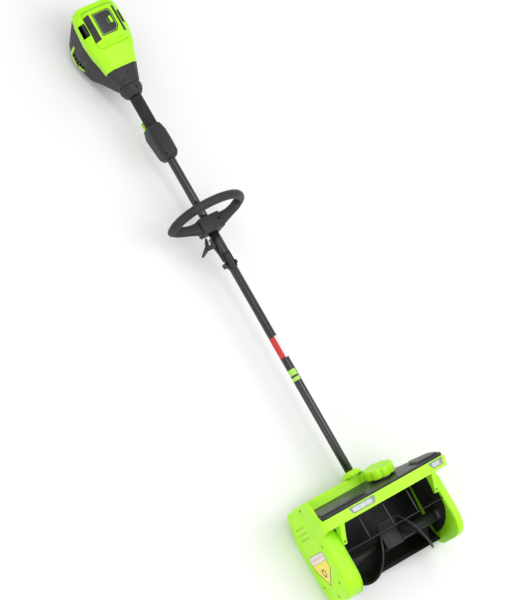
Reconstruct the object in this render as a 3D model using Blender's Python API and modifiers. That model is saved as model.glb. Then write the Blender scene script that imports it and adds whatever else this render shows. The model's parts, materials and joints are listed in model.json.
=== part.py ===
"""Cordless snow shovel, parked flat on the floor.

Everything is laid out in the shovel's own frame and in metres: x runs across the head, y runs along the
pole from the auger's axis to the battery, and z points out of the front (battery and chute) side. The
empty "rest_pose" holds that frame, tilted a little so that the head's back and the rear rest foot both
meet the floor.
"""
import bpy
import bmesh
from math import acos, atan, cos, degrees, pi, radians, sin
from mathutils import Matrix, Vector

# ---- driving dimensions -----------------------------------------------------------------------------
GAP = 0.0003                 # clearance between touching pieces
CLEAR_HALF = 0.165           # half of the clearing width, between the side plates
HEAD_HALF = 0.215            # half of the head's overall width
AUGER_RADIUS = 0.078
AUGER_PITCH = 0.196          # length of one full turn of the flight
HUB_RADIUS = 0.017
SHAFT_RADIUS = 0.008
BEARING_RADIUS = 0.016
SIDE_SHEET = 0.004            # thickness of the plates either side of the auger
RIGHT_OUTER = 0.190          # outer face of the right-hand cover
SHELL_WALL = 0.003
HEAD_REAR_Z = -0.092         # back of the side plates, halfway up
HEAD_REAR_Y = 0.070
PLATE_FRONT_Z = 0.096
PLATE_BOTTOM_Y = -0.082

BAR_FRONT_Z = 0.150          # front bar under the deck
BAR_BACK_Z = 0.128
BAR_LOW_Y = 0.104
BAR_HIGH_Y = 0.1345
DECK_REAR_Y = 0.172
DECK_REAR_Z = 0.022
DECK_SLOPE = atan((DECK_REAR_Y - BAR_HIGH_Y) / (BAR_FRONT_Z - DECK_REAR_Z))
DECK_SKIN = 0.004
COVER_THICKNESS = 0.007

POLE_RADIUS = 0.0127
POLE_BORE = 0.0110
SOCKET_TOP_Y = 0.224
SOCKET_LOW_Y = 0.156
BEAM_TOP_Y = 0.207

VANE_PITCH = 0.0825
VANE_PIVOT_Z = 0.088
VANE_PIN_Z = 0.046
VANE_TOP_Y = 0.138
RAIL_Y = 0.033
RAIL_THICKNESS = 0.003
WALL_INNER_X = -0.2071     # inner face of the drive housing's forward wall
DECK_LEFT_X = -0.2067      # the deck and the bar end just inside that wall
KNOB_X = 0.047
KNOB_Z = 0.066
KNOB_RADIUS = 0.044
KNOB_HEIGHT = 0.0275
KNOB_BOSS = 0.005          # raised ring on the cover that the knob turns on
CRANK_RADIUS = 0.020
CRANK_HEIGHT = -0.0075
LINK_MIDDLE_Y = 0.1415

MOTOR_Y = 0.134
MOTOR_Z = 0.002
PULLEY_LARGE = 0.052
PULLEY_SMALL = 0.012
BELT_X = (-0.181, -0.171)

FOLD_PIN_Y = 0.901
SLEEVE_LOW_Y = 0.888
SLEEVE_HIGH_Y = 1.003
SLEEVE_RADIUS = 0.0155
SLEEVE_BORE = 0.0131
TUBE_JOIN_Y = 0.992
LOCK_PIN_Y = 0.984
LEVER_PIVOT = (-0.040, 0.969, 0.0)

CLAMP_Y = (1.0035, 1.052)
LOOP_HALF = 0.1135
LOOP_DEPTH = 0.088
LOOP_RADIUS = 0.0135

HOUSING_Y = (1.249, 1.360)
GRIP_Y = (1.3605, 1.4585)
GRIP_RADIUS = 0.0185
TRIGGER_PIVOT = (0.0, 1.343, -0.027)

COLLAR_Y = (1.459, 1.4925)
POWER_HEAD_Y = 1.493
UPPER_SHELL_Y = 1.547
BATTERY_LOW = (-0.051, 1.609, 0.027)
BATTERY_HIGH = (0.051, 1.728, 0.084)
FOOT_Y = 1.592
FOOT_Z = -0.112

REST_SLOPE = (FOOT_Z - HEAD_REAR_Z) / (FOOT_Y - HEAD_REAR_Y)
LENGTH_MIDDLE = 0.8312       # y of the middle of the whole shovel, which becomes the origin
WIDTH_MIDDLE = -0.0030       # x of the middle of the whole shovel

LIME = (0.45, 0.93, 0.02)
DARK = (0.045, 0.047, 0.05)
BLACK = (0.012, 0.012, 0.013)
GREY = (0.20, 0.20, 0.21)
STEEL = (0.55, 0.56, 0.58)
CLEAR = (0.85, 0.90, 0.95)
COPPER = (0.60, 0.30, 0.12)


def rest_z(y):
    """Height of the floor line in the shovel's frame, at a distance y along the pole."""
    return HEAD_REAR_Z + REST_SLOPE * (y - HEAD_REAR_Y)


# ---- scene, materials and basic shapes --------------------------------------------------------------
for old in list(bpy.data.objects):
    bpy.data.objects.remove(old, do_unlink=True)

PARTS = bpy.data.collections.new("cordless_snow_shovel")
CUTTERS = bpy.data.collections.new("cutters")
for group in (PARTS, CUTTERS):
    bpy.context.scene.collection.children.link(group)

REST_POSE = bpy.data.objects.new("rest_pose", None)
PARTS.objects.link(REST_POSE)
TILT = atan(-REST_SLOPE)
REST_POSE.rotation_euler = (TILT, 0.0, 0.0)
FLOOR_OFFSET = rest_z(0.0) * cos(TILT)
REST_POSE.location = (-WIDTH_MIDDLE, -LENGTH_MIDDLE, -FLOOR_OFFSET)


def material(name, colour, roughness, metallic=0.0):
    made = bpy.data.materials.new(name)
    made.use_nodes = True
    shader = made.node_tree.nodes["Principled BSDF"]
    shader.inputs["Base Color"].default_value = (*colour, 1.0)
    shader.inputs["Roughness"].default_value = roughness
    shader.inputs["Metallic"].default_value = metallic
    made.diffuse_color = (*colour, 1.0)
    return made


FINISHES = {
    "lime": (LIME, 0.35, 0.0),
    "dark": (DARK, 0.55, 0.0),
    "black": (BLACK, 0.30, 0.0),
    "grey": (GREY, 0.60, 0.0),
    "steel": (STEEL, 0.30, 1.0),
    "clear": (CLEAR, 0.10, 0.0),
    "copper": (COPPER, 0.40, 1.0),
}


def add(name, mesh, finish=None, origin=None, sharp=35):
    """Link a mesh as a part (or, with no finish, as a cutter), with its origin on a given point."""
    thing = bpy.data.objects.new(name, mesh)
    if origin is not None:
        mesh.transform(Matrix.Translation(-Vector(origin)))
        thing.location = origin
    thing.parent = REST_POSE
    mesh.shade_smooth()
    mesh.set_sharp_from_angle(angle=radians(sharp))
    if finish is None:
        CUTTERS.objects.link(thing)
        thing.hide_render = True
        thing.display_type = "WIRE"
    else:
        PARTS.objects.link(thing)
        colour, roughness, metallic = FINISHES[finish]
        mesh.materials.clear()
        mesh.materials.append(material(name, colour, roughness, metallic))
    return thing


def from_bmesh(build):
    shape = bmesh.new()
    build(shape)
    bmesh.ops.recalc_face_normals(shape, faces=shape.faces)
    mesh = bpy.data.meshes.new("shape")
    shape.to_mesh(mesh)
    shape.free()
    return mesh


def box_mesh(low, high):
    size = [b - a for a, b in zip(low, high)]
    centre = [(a + b) / 2 for a, b in zip(low, high)]
    place = Matrix.Translation(centre) @ Matrix.Diagonal((*size, 1.0))
    return from_bmesh(lambda shape: bmesh.ops.create_cube(shape, size=1.0, matrix=place))


def aligned(start, end):
    """Matrix whose Z runs from start to end, with its origin halfway."""
    start, end = Vector(start), Vector(end)
    turn = (end - start).to_track_quat("Z", "Y").to_matrix().to_4x4()
    return Matrix.Translation((start + end) / 2) @ turn


def cone_mesh(start, end, radius, end_radius=None, sides=24):
    depth = (Vector(end) - Vector(start)).length
    far = radius if end_radius is None else end_radius
    return from_bmesh(lambda shape: bmesh.ops.create_cone(
        shape, cap_ends=True, segments=sides, radius1=radius, radius2=far, depth=depth,
        matrix=aligned(start, end)))


def curve_mesh(curve_data, matrix):
    """Turn a filled curve into a welded mesh, moved by a matrix."""
    holder = bpy.data.objects.new("curve", curve_data)
    CUTTERS.objects.link(holder)
    depsgraph = bpy.context.evaluated_depsgraph_get()
    mesh = bpy.data.meshes.new_from_object(holder.evaluated_get(depsgraph))
    bpy.data.objects.remove(holder, do_unlink=True)
    mesh.transform(matrix)
    shape = bmesh.new()
    shape.from_mesh(mesh)
    bmesh.ops.remove_doubles(shape, verts=shape.verts, dist=1e-6)
    bmesh.ops.recalc_face_normals(shape, faces=shape.faces)
    shape.to_mesh(mesh)
    shape.free()
    return mesh


# Matrices that stand a flat outline up: its first number, its second number, and its thickness
ACROSS = Matrix(((0, 0, 1, 0), (1, 0, 0, 0), (0, 1, 0, 0), (0, 0, 0, 1)))     # (y, z), thick along x
FACING = Matrix(((1, 0, 0, 0), (0, 1, 0, 0), (0, 0, 1, 0), (0, 0, 0, 1)))     # (x, y), thick along z
ALONG = Matrix(((1, 0, 0, 0), (0, 0, 1, 0), (0, 1, 0, 0), (0, 0, 0, 1)))      # (x, z), thick along y


def outline_mesh(outlines, low, high, stand=ACROSS):
    """Extrude one or more closed outlines (the later ones are holes) from low to high."""
    data = bpy.data.curves.new("outline", "CURVE")
    data.dimensions = "2D"
    data.fill_mode = "BOTH"
    data.extrude = (high - low) / 2
    for points in outlines:
        spline = data.splines.new("POLY")
        spline.points.add(len(points) - 1)
        for corner, (a, b) in zip(spline.points, points):
            corner.co = (a, b, 0.0, 1.0)
        spline.use_cyclic_u = True
    return curve_mesh(data, stand @ Matrix.Translation((0.0, 0.0, (low + high) / 2)))


def tube_mesh(points, radius, sides=3, closed=False):
    """Round bar along a chain of points."""
    data = bpy.data.curves.new("bar", "CURVE")
    data.dimensions = "3D"
    data.bevel_depth = radius
    data.bevel_resolution = sides
    data.use_fill_caps = True
    spline = data.splines.new("POLY")
    spline.points.add(len(points) - 1)
    for corner, point in zip(spline.points, points):
        corner.co = (*point, 1.0)
    spline.use_cyclic_u = closed
    return curve_mesh(data, Matrix.Identity(4))


def turned_mesh(profile, matrix, sides=32):
    """Turn a closed profile of (radius, height) points about its own Z axis."""
    def build(shape):
        ring = [shape.verts.new((radius, 0.0, height)) for radius, height in profile]
        edges = [shape.edges.new((ring[i], ring[(i + 1) % len(ring)])) for i in range(len(ring))]
        bmesh.ops.spin(shape, geom=ring + edges, cent=(0, 0, 0), axis=(0, 0, 1), angle=2 * pi,
                       steps=sides, use_merge=True, use_duplicate=False)
        bmesh.ops.remove_doubles(shape, verts=shape.verts, dist=1e-6)
    mesh = from_bmesh(build)
    mesh.transform(matrix)
    return mesh


def ring_mesh(start, end, outer, inner, sides=24):
    half = (Vector(end) - Vector(start)).length / 2
    profile = [(inner, half), (outer, half), (outer, -half), (inner, -half)]
    return turned_mesh(profile, aligned(start, end), sides)


def loft_mesh(rings):
    """Skin between rings of equally many points, with both ends filled."""
    def build(shape):
        loops = [[shape.verts.new(point) for point in ring] for ring in rings]
        count = len(loops[0])
        for near, far in zip(loops, loops[1:]):
            for i in range(count):
                j = (i + 1) % count
                shape.faces.new((near[i], near[j], far[j], far[i]))
        shape.faces.new(list(reversed(loops[0])))
        shape.faces.new(loops[-1])
        bmesh.ops.triangulate(shape, faces=shape.faces)
    return from_bmesh(build)


def bevel(thing, width, segments=2, angle=40):
    step = thing.modifiers.new("round_edges", "BEVEL")
    step.width = width
    step.segments = segments
    step.limit_method = "ANGLE"
    step.angle_limit = radians(angle)
    return thing


def combine(thing, mesh, how="DIFFERENCE"):
    """Cut a mesh from a part, join it to the part, or keep only what both hold."""
    cutter = add(f"{how.lower()}_{thing.name}", mesh)
    step = thing.modifiers.new(how.lower(), "BOOLEAN")
    step.operation = how
    step.object = cutter
    step.solver = "EXACT"
    return thing


def cut(thing, *meshes):
    for mesh in meshes:
        combine(thing, mesh, "DIFFERENCE")
    return thing


def join(thing, *meshes):
    for mesh in meshes:
        combine(thing, mesh, "UNION")
    return thing


def box(name, low, high, finish, origin=None):
    return add(name, box_mesh(low, high), finish, origin)


def rod(name, start, end, radius, finish, origin=None, sides=24):
    return add(name, cone_mesh(start, end, radius, sides=sides), finish, origin)


def arc(centre, radius, start, end, steps):
    """Points on a circle, with angles in degrees."""
    turns = [radians(start + (end - start) * i / steps) for i in range(steps + 1)]
    return [(centre[0] + radius * cos(t), centre[1] + radius * sin(t)) for t in turns]


def on_deck(x, z, height=0.0):
    """A point above the deck skin's top face, measured square to it."""
    y = BAR_HIGH_Y + (BAR_FRONT_Z - z) * sin(DECK_SLOPE) / cos(DECK_SLOPE)
    return Vector((x, y + height * cos(DECK_SLOPE), z + height * sin(DECK_SLOPE)))


# ---- side plates and drive housing ------------------------------------------------------------------
def shrink(points, inset):
    """Closed outline pulled in by the same distance on every side."""
    count = len(points)
    area = sum(points[i - 1][0] * points[i][1] - points[i][0] * points[i - 1][1] for i in range(count))
    way = 1.0 if area > 0 else -1.0
    result = []
    for i in range(count):
        before, here, after = Vector(points[i - 1]), Vector(points[i]), Vector(points[(i + 1) % count])
        first = (here - before).normalized()
        second = (after - here).normalized()
        near = Vector((-first.y, first.x)) * way
        far = Vector((-second.y, second.x)) * way
        moved = here + (near + far) * (inset / (1.0 + near.dot(far)))
        result.append((moved.x, moved.y))
    return result


def side_outline(upper):
    """Side of the head as (y, z): a rounded foot and a flat back round the given upper points."""
    toe, heel, high = 0.070, 0.045, 0.120
    points = arc((PLATE_BOTTOM_Y + toe, PLATE_FRONT_Z - toe), toe, 180, 90, 6)
    points += upper
    points += [(high, rest_z(high)), (-0.020, rest_z(-0.020))]
    points += arc((PLATE_BOTTOM_Y + heel, rest_z(PLATE_BOTTOM_Y) + heel + 0.002), heel, 250, 190, 4)
    return points


PLATE_UPPER = [(0.088, PLATE_FRONT_Z), (0.150, 0.060), (0.150, -0.050)]
HOUSING_UPPER = [(0.1385, PLATE_FRONT_Z), (0.157, 0.0350), (0.205, 0.0345),
                 (0.205, -0.050)]
FORWARD_WALL = [(0.104, 0.1495), (0.1345, 0.1495), (0.150, 0.136), (0.182, 0.132), (0.198, 0.122),
                (0.2046, 0.105), (0.2046, 0.0330), (0.156, 0.0330), (0.1365, 0.0940), (0.098, 0.0940)]
VENT_Y = (0.118, 0.134, 0.150)
VENT_HALF = 0.0035


def side_plates():
    for name, side in (("right_side_plate", 1), ("drive_side_plate", -1)):
        low, high = sorted((side * CLEAR_HALF, side * (CLEAR_HALF + SIDE_SHEET)))
        plate = add(name, outline_mesh([side_outline(PLATE_UPPER)], low, high), "lime")
        cut(plate, cone_mesh((low - 0.005, 0, 0), (high + 0.005, 0, 0), BEARING_RADIUS + GAP))
    near = CLEAR_HALF + SIDE_SHEET + GAP
    outline = side_outline(PLATE_UPPER)
    cover = add("right_side_cover", outline_mesh([outline], near, RIGHT_OUTER), "lime")
    bevel(cover, 0.006, 2, 60)
    cut(cover, outline_mesh([shrink(outline, SHELL_WALL)], near - 0.010, RIGHT_OUTER - SHELL_WALL))


def drive_housing():
    outer = -HEAD_HALF
    inner = -CLEAR_HALF - SIDE_SHEET - GAP
    housing = side_outline(HOUSING_UPPER)
    cover = add("drive_cover", outline_mesh([housing], outer, inner), "lime")
    bevel(cover, 0.009, 3, 60)
    cut(cover, outline_mesh([shrink(housing, SHELL_WALL)], outer + SHELL_WALL, inner + 0.020))
    for level in VENT_Y:
        cut(cover, box_mesh((outer - 0.010, level - VENT_HALF, -0.0345),
                            (outer + 0.010, level + VENT_HALF, 0.0310)))
    join(cover, outline_mesh([FORWARD_WALL], outer + 0.0004, WALL_INNER_X))

    stator_end = (-0.209, MOTOR_Y, MOTOR_Z)
    add("motor_stator", cone_mesh(stator_end, (-0.1885, MOTOR_Y, MOTOR_Z), 0.024), "copper")
    cut(bpy.data.objects["motor_stator"],
        cone_mesh((-0.2075, MOTOR_Y, MOTOR_Z), (-0.18, MOTOR_Y, MOTOR_Z), 0.0056))

    axis = (0.0, MOTOR_Y, MOTOR_Z)
    bell = add("rotor_bell", cone_mesh((-0.207, *axis[1:]), (-0.184, *axis[1:]), 0.031), "steel", axis)
    cut(bell, cone_mesh((-0.210, *axis[1:]), (-0.187, *axis[1:]), 0.0255))
    join(bell, cone_mesh((-0.205, *axis[1:]), (-0.1700, *axis[1:]), 0.005))
    add("small_pulley", ring_mesh((BELT_X[0], *axis[1:]), (BELT_X[1], *axis[1:]), PULLEY_SMALL, 0.0053),
        "steel", axis)
    large = ring_mesh((BELT_X[0], 0, 0), (BELT_X[1], 0, 0), PULLEY_LARGE, SHAFT_RADIUS + GAP, 40)
    add("large_pulley", large, "dark", (0, 0, 0))

    lean = atan(MOTOR_Z / MOTOR_Y)
    low_turn = degrees(acos((PULLEY_LARGE - PULLEY_SMALL) / MOTOR_Y))

    def loop(extra):
        turned = arc((0, 0), PULLEY_LARGE + extra, low_turn, 360 - low_turn, 26)
        turned += arc((MOTOR_Y, 0), PULLEY_SMALL + extra, -low_turn, low_turn, 8)
        return [(a * cos(lean) - b * sin(lean), a * sin(lean) + b * cos(lean)) for a, b in turned]
    add("drive_belt", outline_mesh([loop(0.0040), loop(0.0009)], BELT_X[0] + 0.001, BELT_X[1] - 0.001),
        "black")


# ---- auger -------------------------------------------------------------------------------------------
def flight_mesh(side):
    """Helical blade from the side plate towards the middle, the same on both sides in mirror image."""
    inner, outer, thick, steps = HUB_RADIUS + GAP, AUGER_RADIUS, 0.004, 26
    far, near = 0.157, 0.0335
    bottom_at = 0.107

    def ring(x):
        turn = 2 * pi * (bottom_at - x) / AUGER_PITCH
        out = Vector((0.0, -cos(turn), sin(turn)))
        points = []
        for radius, shift in ((inner, -thick), (outer, -thick), (outer, thick), (inner, thick)):
            points.append(out * radius + Vector((side * (x + shift / 2), 0.0, 0.0)))
        return points
    return loft_mesh([ring(far + (near - far) * i / steps) for i in range(steps + 1)])


def auger():
    centre = (0, 0, 0)
    rod("auger_shaft", (-0.1815, 0, 0), (0.1725, 0, 0), SHAFT_RADIUS, "steel", centre)
    add("auger_hub", ring_mesh((-0.159, 0, 0), (0.159, 0, 0), HUB_RADIUS, SHAFT_RADIUS + GAP), "black",
        centre)
    add("auger_flight_left", flight_mesh(-1), "black", centre)
    add("auger_flight_right", flight_mesh(1), "black", centre)
    half = 0.030
    face = HUB_RADIUS + 0.001
    paddle = box("centre_paddle", (-half, -0.020, -0.002), (half, 0.030, face + 0.012), "black", centre)
    bevel(paddle, 0.003, 1)
    cut(paddle, cone_mesh((-0.05, 0, 0), (0.05, 0, 0), HUB_RADIUS + GAP))
    join(paddle, loft_mesh([
        [(-half, 0.018, 0.020), (half, 0.018, 0.020), (half, 0.024, 0.024), (-half, 0.024, 0.024)],
        [(-half, 0.050, 0.052), (half, 0.050, 0.052), (half, 0.054, 0.055), (-half, 0.054, 0.055)]]))
    for name, start, end in (("auger_bearing_left", -0.1690, -0.1605),
                             ("auger_bearing_right", 0.1605, 0.1725)):
        add(name, ring_mesh((start, 0, 0), (end, 0, 0), BEARING_RADIUS, SHAFT_RADIUS + GAP), "steel")


# ---- deck, chute and back wall ----------------------------------------------------------------------
def deck_matrix(height):
    """Lays an outline of (x, distance behind the bar's front) on the deck's slope."""
    base = on_deck(0.0, BAR_FRONT_Z, height)
    back = Vector((0.0, sin(DECK_SLOPE), -cos(DECK_SLOPE)))
    normal = Vector((0.0, cos(DECK_SLOPE), sin(DECK_SLOPE)))
    return Matrix(((1, back.x, normal.x, base.x), (0, back.y, normal.y, base.y),
                   (0, back.z, normal.z, base.z), (0, 0, 0, 1)))


def deck_outline(edge):
    """Plan of the deck, as x and distance back from the front; edge pulls every side in."""
    depth = (BAR_FRONT_Z - DECK_REAR_Z) / cos(DECK_SLOPE)
    corner = 0.030
    left_end = 0.1165
    points = arc((0.209 - edge - corner * 0.4, edge + corner * 0.4), corner * 0.4, -90, 0, 3)
    points += [(0.2065 - edge, 0.050 - edge), (0.201 - edge, 0.064 - edge), (0.112 - edge, 0.093 - edge)]
    points += [(0.088 - edge, 0.108 - edge), (0.077 - edge, depth - edge)]
    points += [(-CLEAR_HALF + GAP + edge, depth - edge), (-CLEAR_HALF + GAP + edge, left_end - edge)]
    points += [(DECK_LEFT_X + edge, left_end - edge), (DECK_LEFT_X + edge, edge)]
    return points


def deck():
    bar = box_mesh((DECK_LEFT_X, BAR_LOW_Y, BAR_BACK_Z), (0.209, BAR_HIGH_Y, BAR_FRONT_Z))
    frame = add("deck_frame", bar, "lime")
    join(frame, outline_mesh([deck_outline(0.0)], -DECK_SKIN, 0.0, deck_matrix(0.0)))
    beam_side = [(0.1605, -0.045), (0.1605, 0.027), (0.169, 0.027), (0.177, 0.019), (0.200, 0.017),
                 (BEAM_TOP_Y, 0.008),
                 (BEAM_TOP_Y, -0.030), (0.196, -0.045)]
    join(frame, outline_mesh([beam_side], -CLEAR_HALF + GAP, 0.075))
    apron_side = [(0.1540, -0.045), (0.1470, 0.092), (0.1512, 0.092), (0.1580, -0.045)]
    join(frame, outline_mesh([apron_side], 0.070, CLEAR_HALF - GAP))
    skirt = [(0.074, 0.0915), (0.1640, 0.0915), (0.1640, 0.0800), (0.1115, 0.0620), (0.0875, 0.0475),
             (0.0765, 0.0235), (0.074, 0.0235)]
    join(frame, loft_mesh([[(x, 0.1500, z) for x, z in skirt],
                           [(x, on_deck(x, z).y - 0.0010, z) for x, z in skirt]]))
    join(frame, box_mesh((0.070, 0.1530, -0.0449), (0.0749, 0.1700, 0.0260)))
    join(frame, bracket_mesh(-1), bracket_mesh(1))
    for x in VANES.values():
        join(frame, cone_mesh((x, VANE_TOP_Y + 0.0022, VANE_PIVOT_Z), (x, 0.150, VANE_PIVOT_Z), 0.005,
                              sides=12))
        cut(frame, cone_mesh((x, 0.130, VANE_PIVOT_Z), (x, VANE_TOP_Y + 0.0066, VANE_PIVOT_Z), 0.0024,
                             sides=12))
    cut(frame, cone_mesh((0, 0.10, 0), (0, 0.30, 0), 0.0203))
    spindle = (on_deck(KNOB_X, KNOB_Z, -0.03), on_deck(KNOB_X, KNOB_Z, 0.03))
    cut(frame, cone_mesh(*spindle, 0.0083))
    cut(frame, loft_mesh([[(0.230, 0.095, z), (0.200, 0.095, z), (0.214, 0.140, z), (0.230, 0.140, z)]
                          for z in (0.10, 0.16)]))
    for low, high in LIGHTS:
        cut(frame, light_mesh(low, high, 0.0, 0.137, 0.160))

    cover = add("top_cover", outline_mesh([deck_outline(0.001)], GAP, COVER_THICKNESS, deck_matrix(0.0)),
                "black")
    cut(cover, box_mesh((-0.2, 0.100, -0.060), (0.076, 0.260, 0.0295)))
    bevel(cover, 0.0025, 2, 60)
    top = COVER_THICKNESS + KNOB_BOSS
    join(cover, cone_mesh(on_deck(KNOB_X, KNOB_Z, 0.002), on_deck(KNOB_X, KNOB_Z, top), 0.034))
    cut(cover, cone_mesh(*spindle, 0.0083))


LIGHTS = ((-0.124, -0.034), (0.150, 0.200))


def light_mesh(low, high, inset, back, front):
    """Headlight, wider at the top than at the bottom."""
    top, bottom, slant = BAR_HIGH_Y - 0.003 - inset, BAR_LOW_Y + 0.008 + inset, 0.008
    corners = [(low + inset, top), (high - inset, top), (high - inset - slant, bottom),
               (low + inset + slant, bottom)]
    return outline_mesh([corners], back, front, FACING)


def headlights():
    for side, (low, high) in zip(("left", "right"), LIGHTS):
        add(f"headlight_lens_{side}", light_mesh(low, high, 0.0004, 0.1455, 0.1495), "clear")
        add(f"headlight_board_{side}", light_mesh(low, high, 0.0004, 0.1375, 0.1385), "grey")


def bracket_mesh(side):
    """Gusset between a side plate's front edge and the front bar, wider at the top."""
    near, far = side * (CLEAR_HALF - GAP), side * 0.149
    slim = near - side * 0.012
    high = BAR_LOW_Y + 0.006
    top = [(near, high, 0.100), (far, high, 0.100), (far, high, 0.147), (near, high, 0.147)]
    low = [(near, 0.052, 0.084), (slim, 0.052, 0.084), (slim, 0.052, 0.096), (near, 0.052, 0.096)]
    return loft_mesh([low, top])


def chamber():
    """Back wall of the auger chamber, curved behind the auger and running up behind the chute."""
    inner, outer = 0.0815, 0.0850
    start, end = 228, 285
    wall = arc((0, 0), inner, start, end, 7)
    wall += [(0.090, -0.066), (0.1555, -0.052)]
    wall += [(0.1555, -0.0555), (0.092, -0.0700)]
    wall += arc((0, 0), outer, end, start, 7)
    add("back_wall", outline_mesh([wall], -CLEAR_HALF + GAP, CLEAR_HALF - GAP), "dark")
    tip = radians(start)
    blade = [(radius * cos(tip) + run * sin(tip), radius * sin(tip) - run * cos(tip))
             for radius, run in ((inner, GAP), (outer, GAP), (outer, 0.0135), (inner + 0.002, 0.0145),
                                 (inner, 0.0145))]
    add("scraper_bar", outline_mesh([blade], -CLEAR_HALF + GAP, CLEAR_HALF - GAP), "dark")
    box("vane_rail", (-CLEAR_HALF + GAP, RAIL_Y - RAIL_THICKNESS, 0.081),
        (CLEAR_HALF - GAP, RAIL_Y, 0.096), "grey")
    for x in VANES.values():
        cut(bpy.data.objects["vane_rail"], cone_mesh((x, 0.02, VANE_PIVOT_Z), (x, 0.05, VANE_PIVOT_Z),
                                                     0.0023, sides=12))


VANES = {"vane_left": -VANE_PITCH, "vane_centre": 0.0, "vane_right": VANE_PITCH}


def vanes():
    """Deflector vanes that hang under the deck, and the bar that turns them together."""
    low = RAIL_Y + 0.0008
    clear = AUGER_RADIUS + 0.005
    under = arc((0, 0), clear, 90 - 63, 90 - 6, 6)
    side = [(VANE_TOP_Y, 0.004), (VANE_TOP_Y, 0.095), (low + 0.016, 0.095), (low, 0.0915)]
    side += [(y, z) for z, y in under if y > low + 0.002]
    for name, x in VANES.items():
        pivot = (x, RAIL_Y, VANE_PIVOT_Z)
        vane = add(name, outline_mesh([side], x - 0.0013, x + 0.0013), "dark", pivot)
        join(vane, cone_mesh((x, 0.0305, VANE_PIVOT_Z), (x, VANE_TOP_Y + 0.006, VANE_PIVOT_Z), 0.002,
                             sides=10))
        join(vane, cone_mesh((x, 0.121, VANE_PIN_Z), (x, VANE_TOP_Y + 0.008, VANE_PIN_Z), 0.003,
                             sides=10))
    link = box("vane_link", (-0.098, VANE_TOP_Y + 0.002, 0.030), (0.098, VANE_TOP_Y + 0.005, 0.060),
               "grey", (0, VANE_TOP_Y, VANE_PIN_Z))
    for x in VANES.values():
        cut(link, box_mesh((x - 0.004, 0.13, VANE_PIN_Z - 0.005), (x + 0.004, 0.15, VANE_PIN_Z + 0.007)))
    x, y, z = crank_point(LINK_MIDDLE_Y)
    cut(link, box_mesh((x - 0.0048, 0.13, z - 0.0045), (x + 0.0048, 0.15, z + 0.0105)))


def crank_point(level):
    """Where the axis of the crank pin under the knob passes a given y."""
    normal = Vector((0.0, cos(DECK_SLOPE), sin(DECK_SLOPE)))
    back = Vector((0.0, sin(DECK_SLOPE), -cos(DECK_SLOPE)))
    start = on_deck(KNOB_X, KNOB_Z, CRANK_HEIGHT) + back * CRANK_RADIUS
    return start + normal * (level - start.y) / normal.y


def knob():
    """Direction knob with finger lobes, its spindle and the crank that drives the link bar."""
    lobes, steps = 8, 48

    def edge(i):
        wave = 0.5 - 0.5 * cos(2 * pi * lobes * i / steps)
        radius = KNOB_RADIUS - 0.0045 * wave ** 2
        return (radius * cos(2 * pi * i / steps), radius * sin(2 * pi * i / steps))
    base = deck_matrix(0.0)
    place = Matrix.Translation(on_deck(KNOB_X, KNOB_Z) - base.translation) @ base
    rim = [edge(i) for i in range(steps)]
    origin = on_deck(KNOB_X, KNOB_Z)
    low = COVER_THICKNESS + KNOB_BOSS + 0.0006
    dial = add("direction_knob", outline_mesh([rim], low, low + KNOB_HEIGHT, place), "lime", origin)
    bevel(dial, 0.003, 1, 60)
    join(dial, cone_mesh(on_deck(KNOB_X, KNOB_Z, -0.009), on_deck(KNOB_X, KNOB_Z, low + 0.004), 0.0075))
    back = Vector((0.0, sin(DECK_SLOPE), -cos(DECK_SLOPE)))
    across = Vector((1.0, 0.0, 0.0))
    centre = on_deck(KNOB_X, KNOB_Z)
    normal = Vector((0.0, cos(DECK_SLOPE), sin(DECK_SLOPE)))
    rings = []
    for height in (-0.0090, -0.0065):
        base_point = centre + normal * height
        rings.append([base_point + across * a + back * b for a, b in
                      ((-0.0055, -0.006), (0.0055, -0.006), (0.0045, 0.0235), (-0.0045, 0.0235))])
    join(dial, loft_mesh(rings))
    top = centre + normal * CRANK_HEIGHT + back * CRANK_RADIUS
    join(dial, cone_mesh(top, crank_point(LINK_MIDDLE_Y - 0.002), 0.003, sides=12))


# ---- lower pole and fold joint ----------------------------------------------------------------------
def lower_pole():
    half = (SOCKET_TOP_Y - SOCKET_LOW_Y) / 2
    rim = BEAM_TOP_Y + GAP - (SOCKET_TOP_Y + SOCKET_LOW_Y) / 2
    profile = [(0.0131, -half), (0.0131, half), (0.0158, half), (0.0270, half - 0.0105), (0.0300, rim),
               (0.0200, rim), (0.0200, -half)]
    centre_y = (SOCKET_TOP_Y + SOCKET_LOW_Y) / 2
    middle = Matrix.Translation((0.0, centre_y, 0.0)) @ Matrix.Rotation(-pi / 2, 4, "X")
    socket = turned_mesh(profile, middle, 32)
    add("pole_socket", socket, "lime")
    tube = add("lower_tube", ring_mesh((0, 0.158, 0), (0, TUBE_JOIN_Y, 0), POLE_RADIUS, POLE_BORE), "black")
    cut(tube, cone_mesh((-0.02, FOLD_PIN_Y, 0), (0.02, FOLD_PIN_Y, 0), 0.0044, sides=16))
    cut(tube, cone_mesh((-0.02, LOCK_PIN_Y, 0), (-0.004, LOCK_PIN_Y, 0), 0.0036, sides=16))
    rod("lower_cable", (0, 0.160, 0), (0, 0.890, 0), 0.003, "dark", sides=8)


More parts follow.
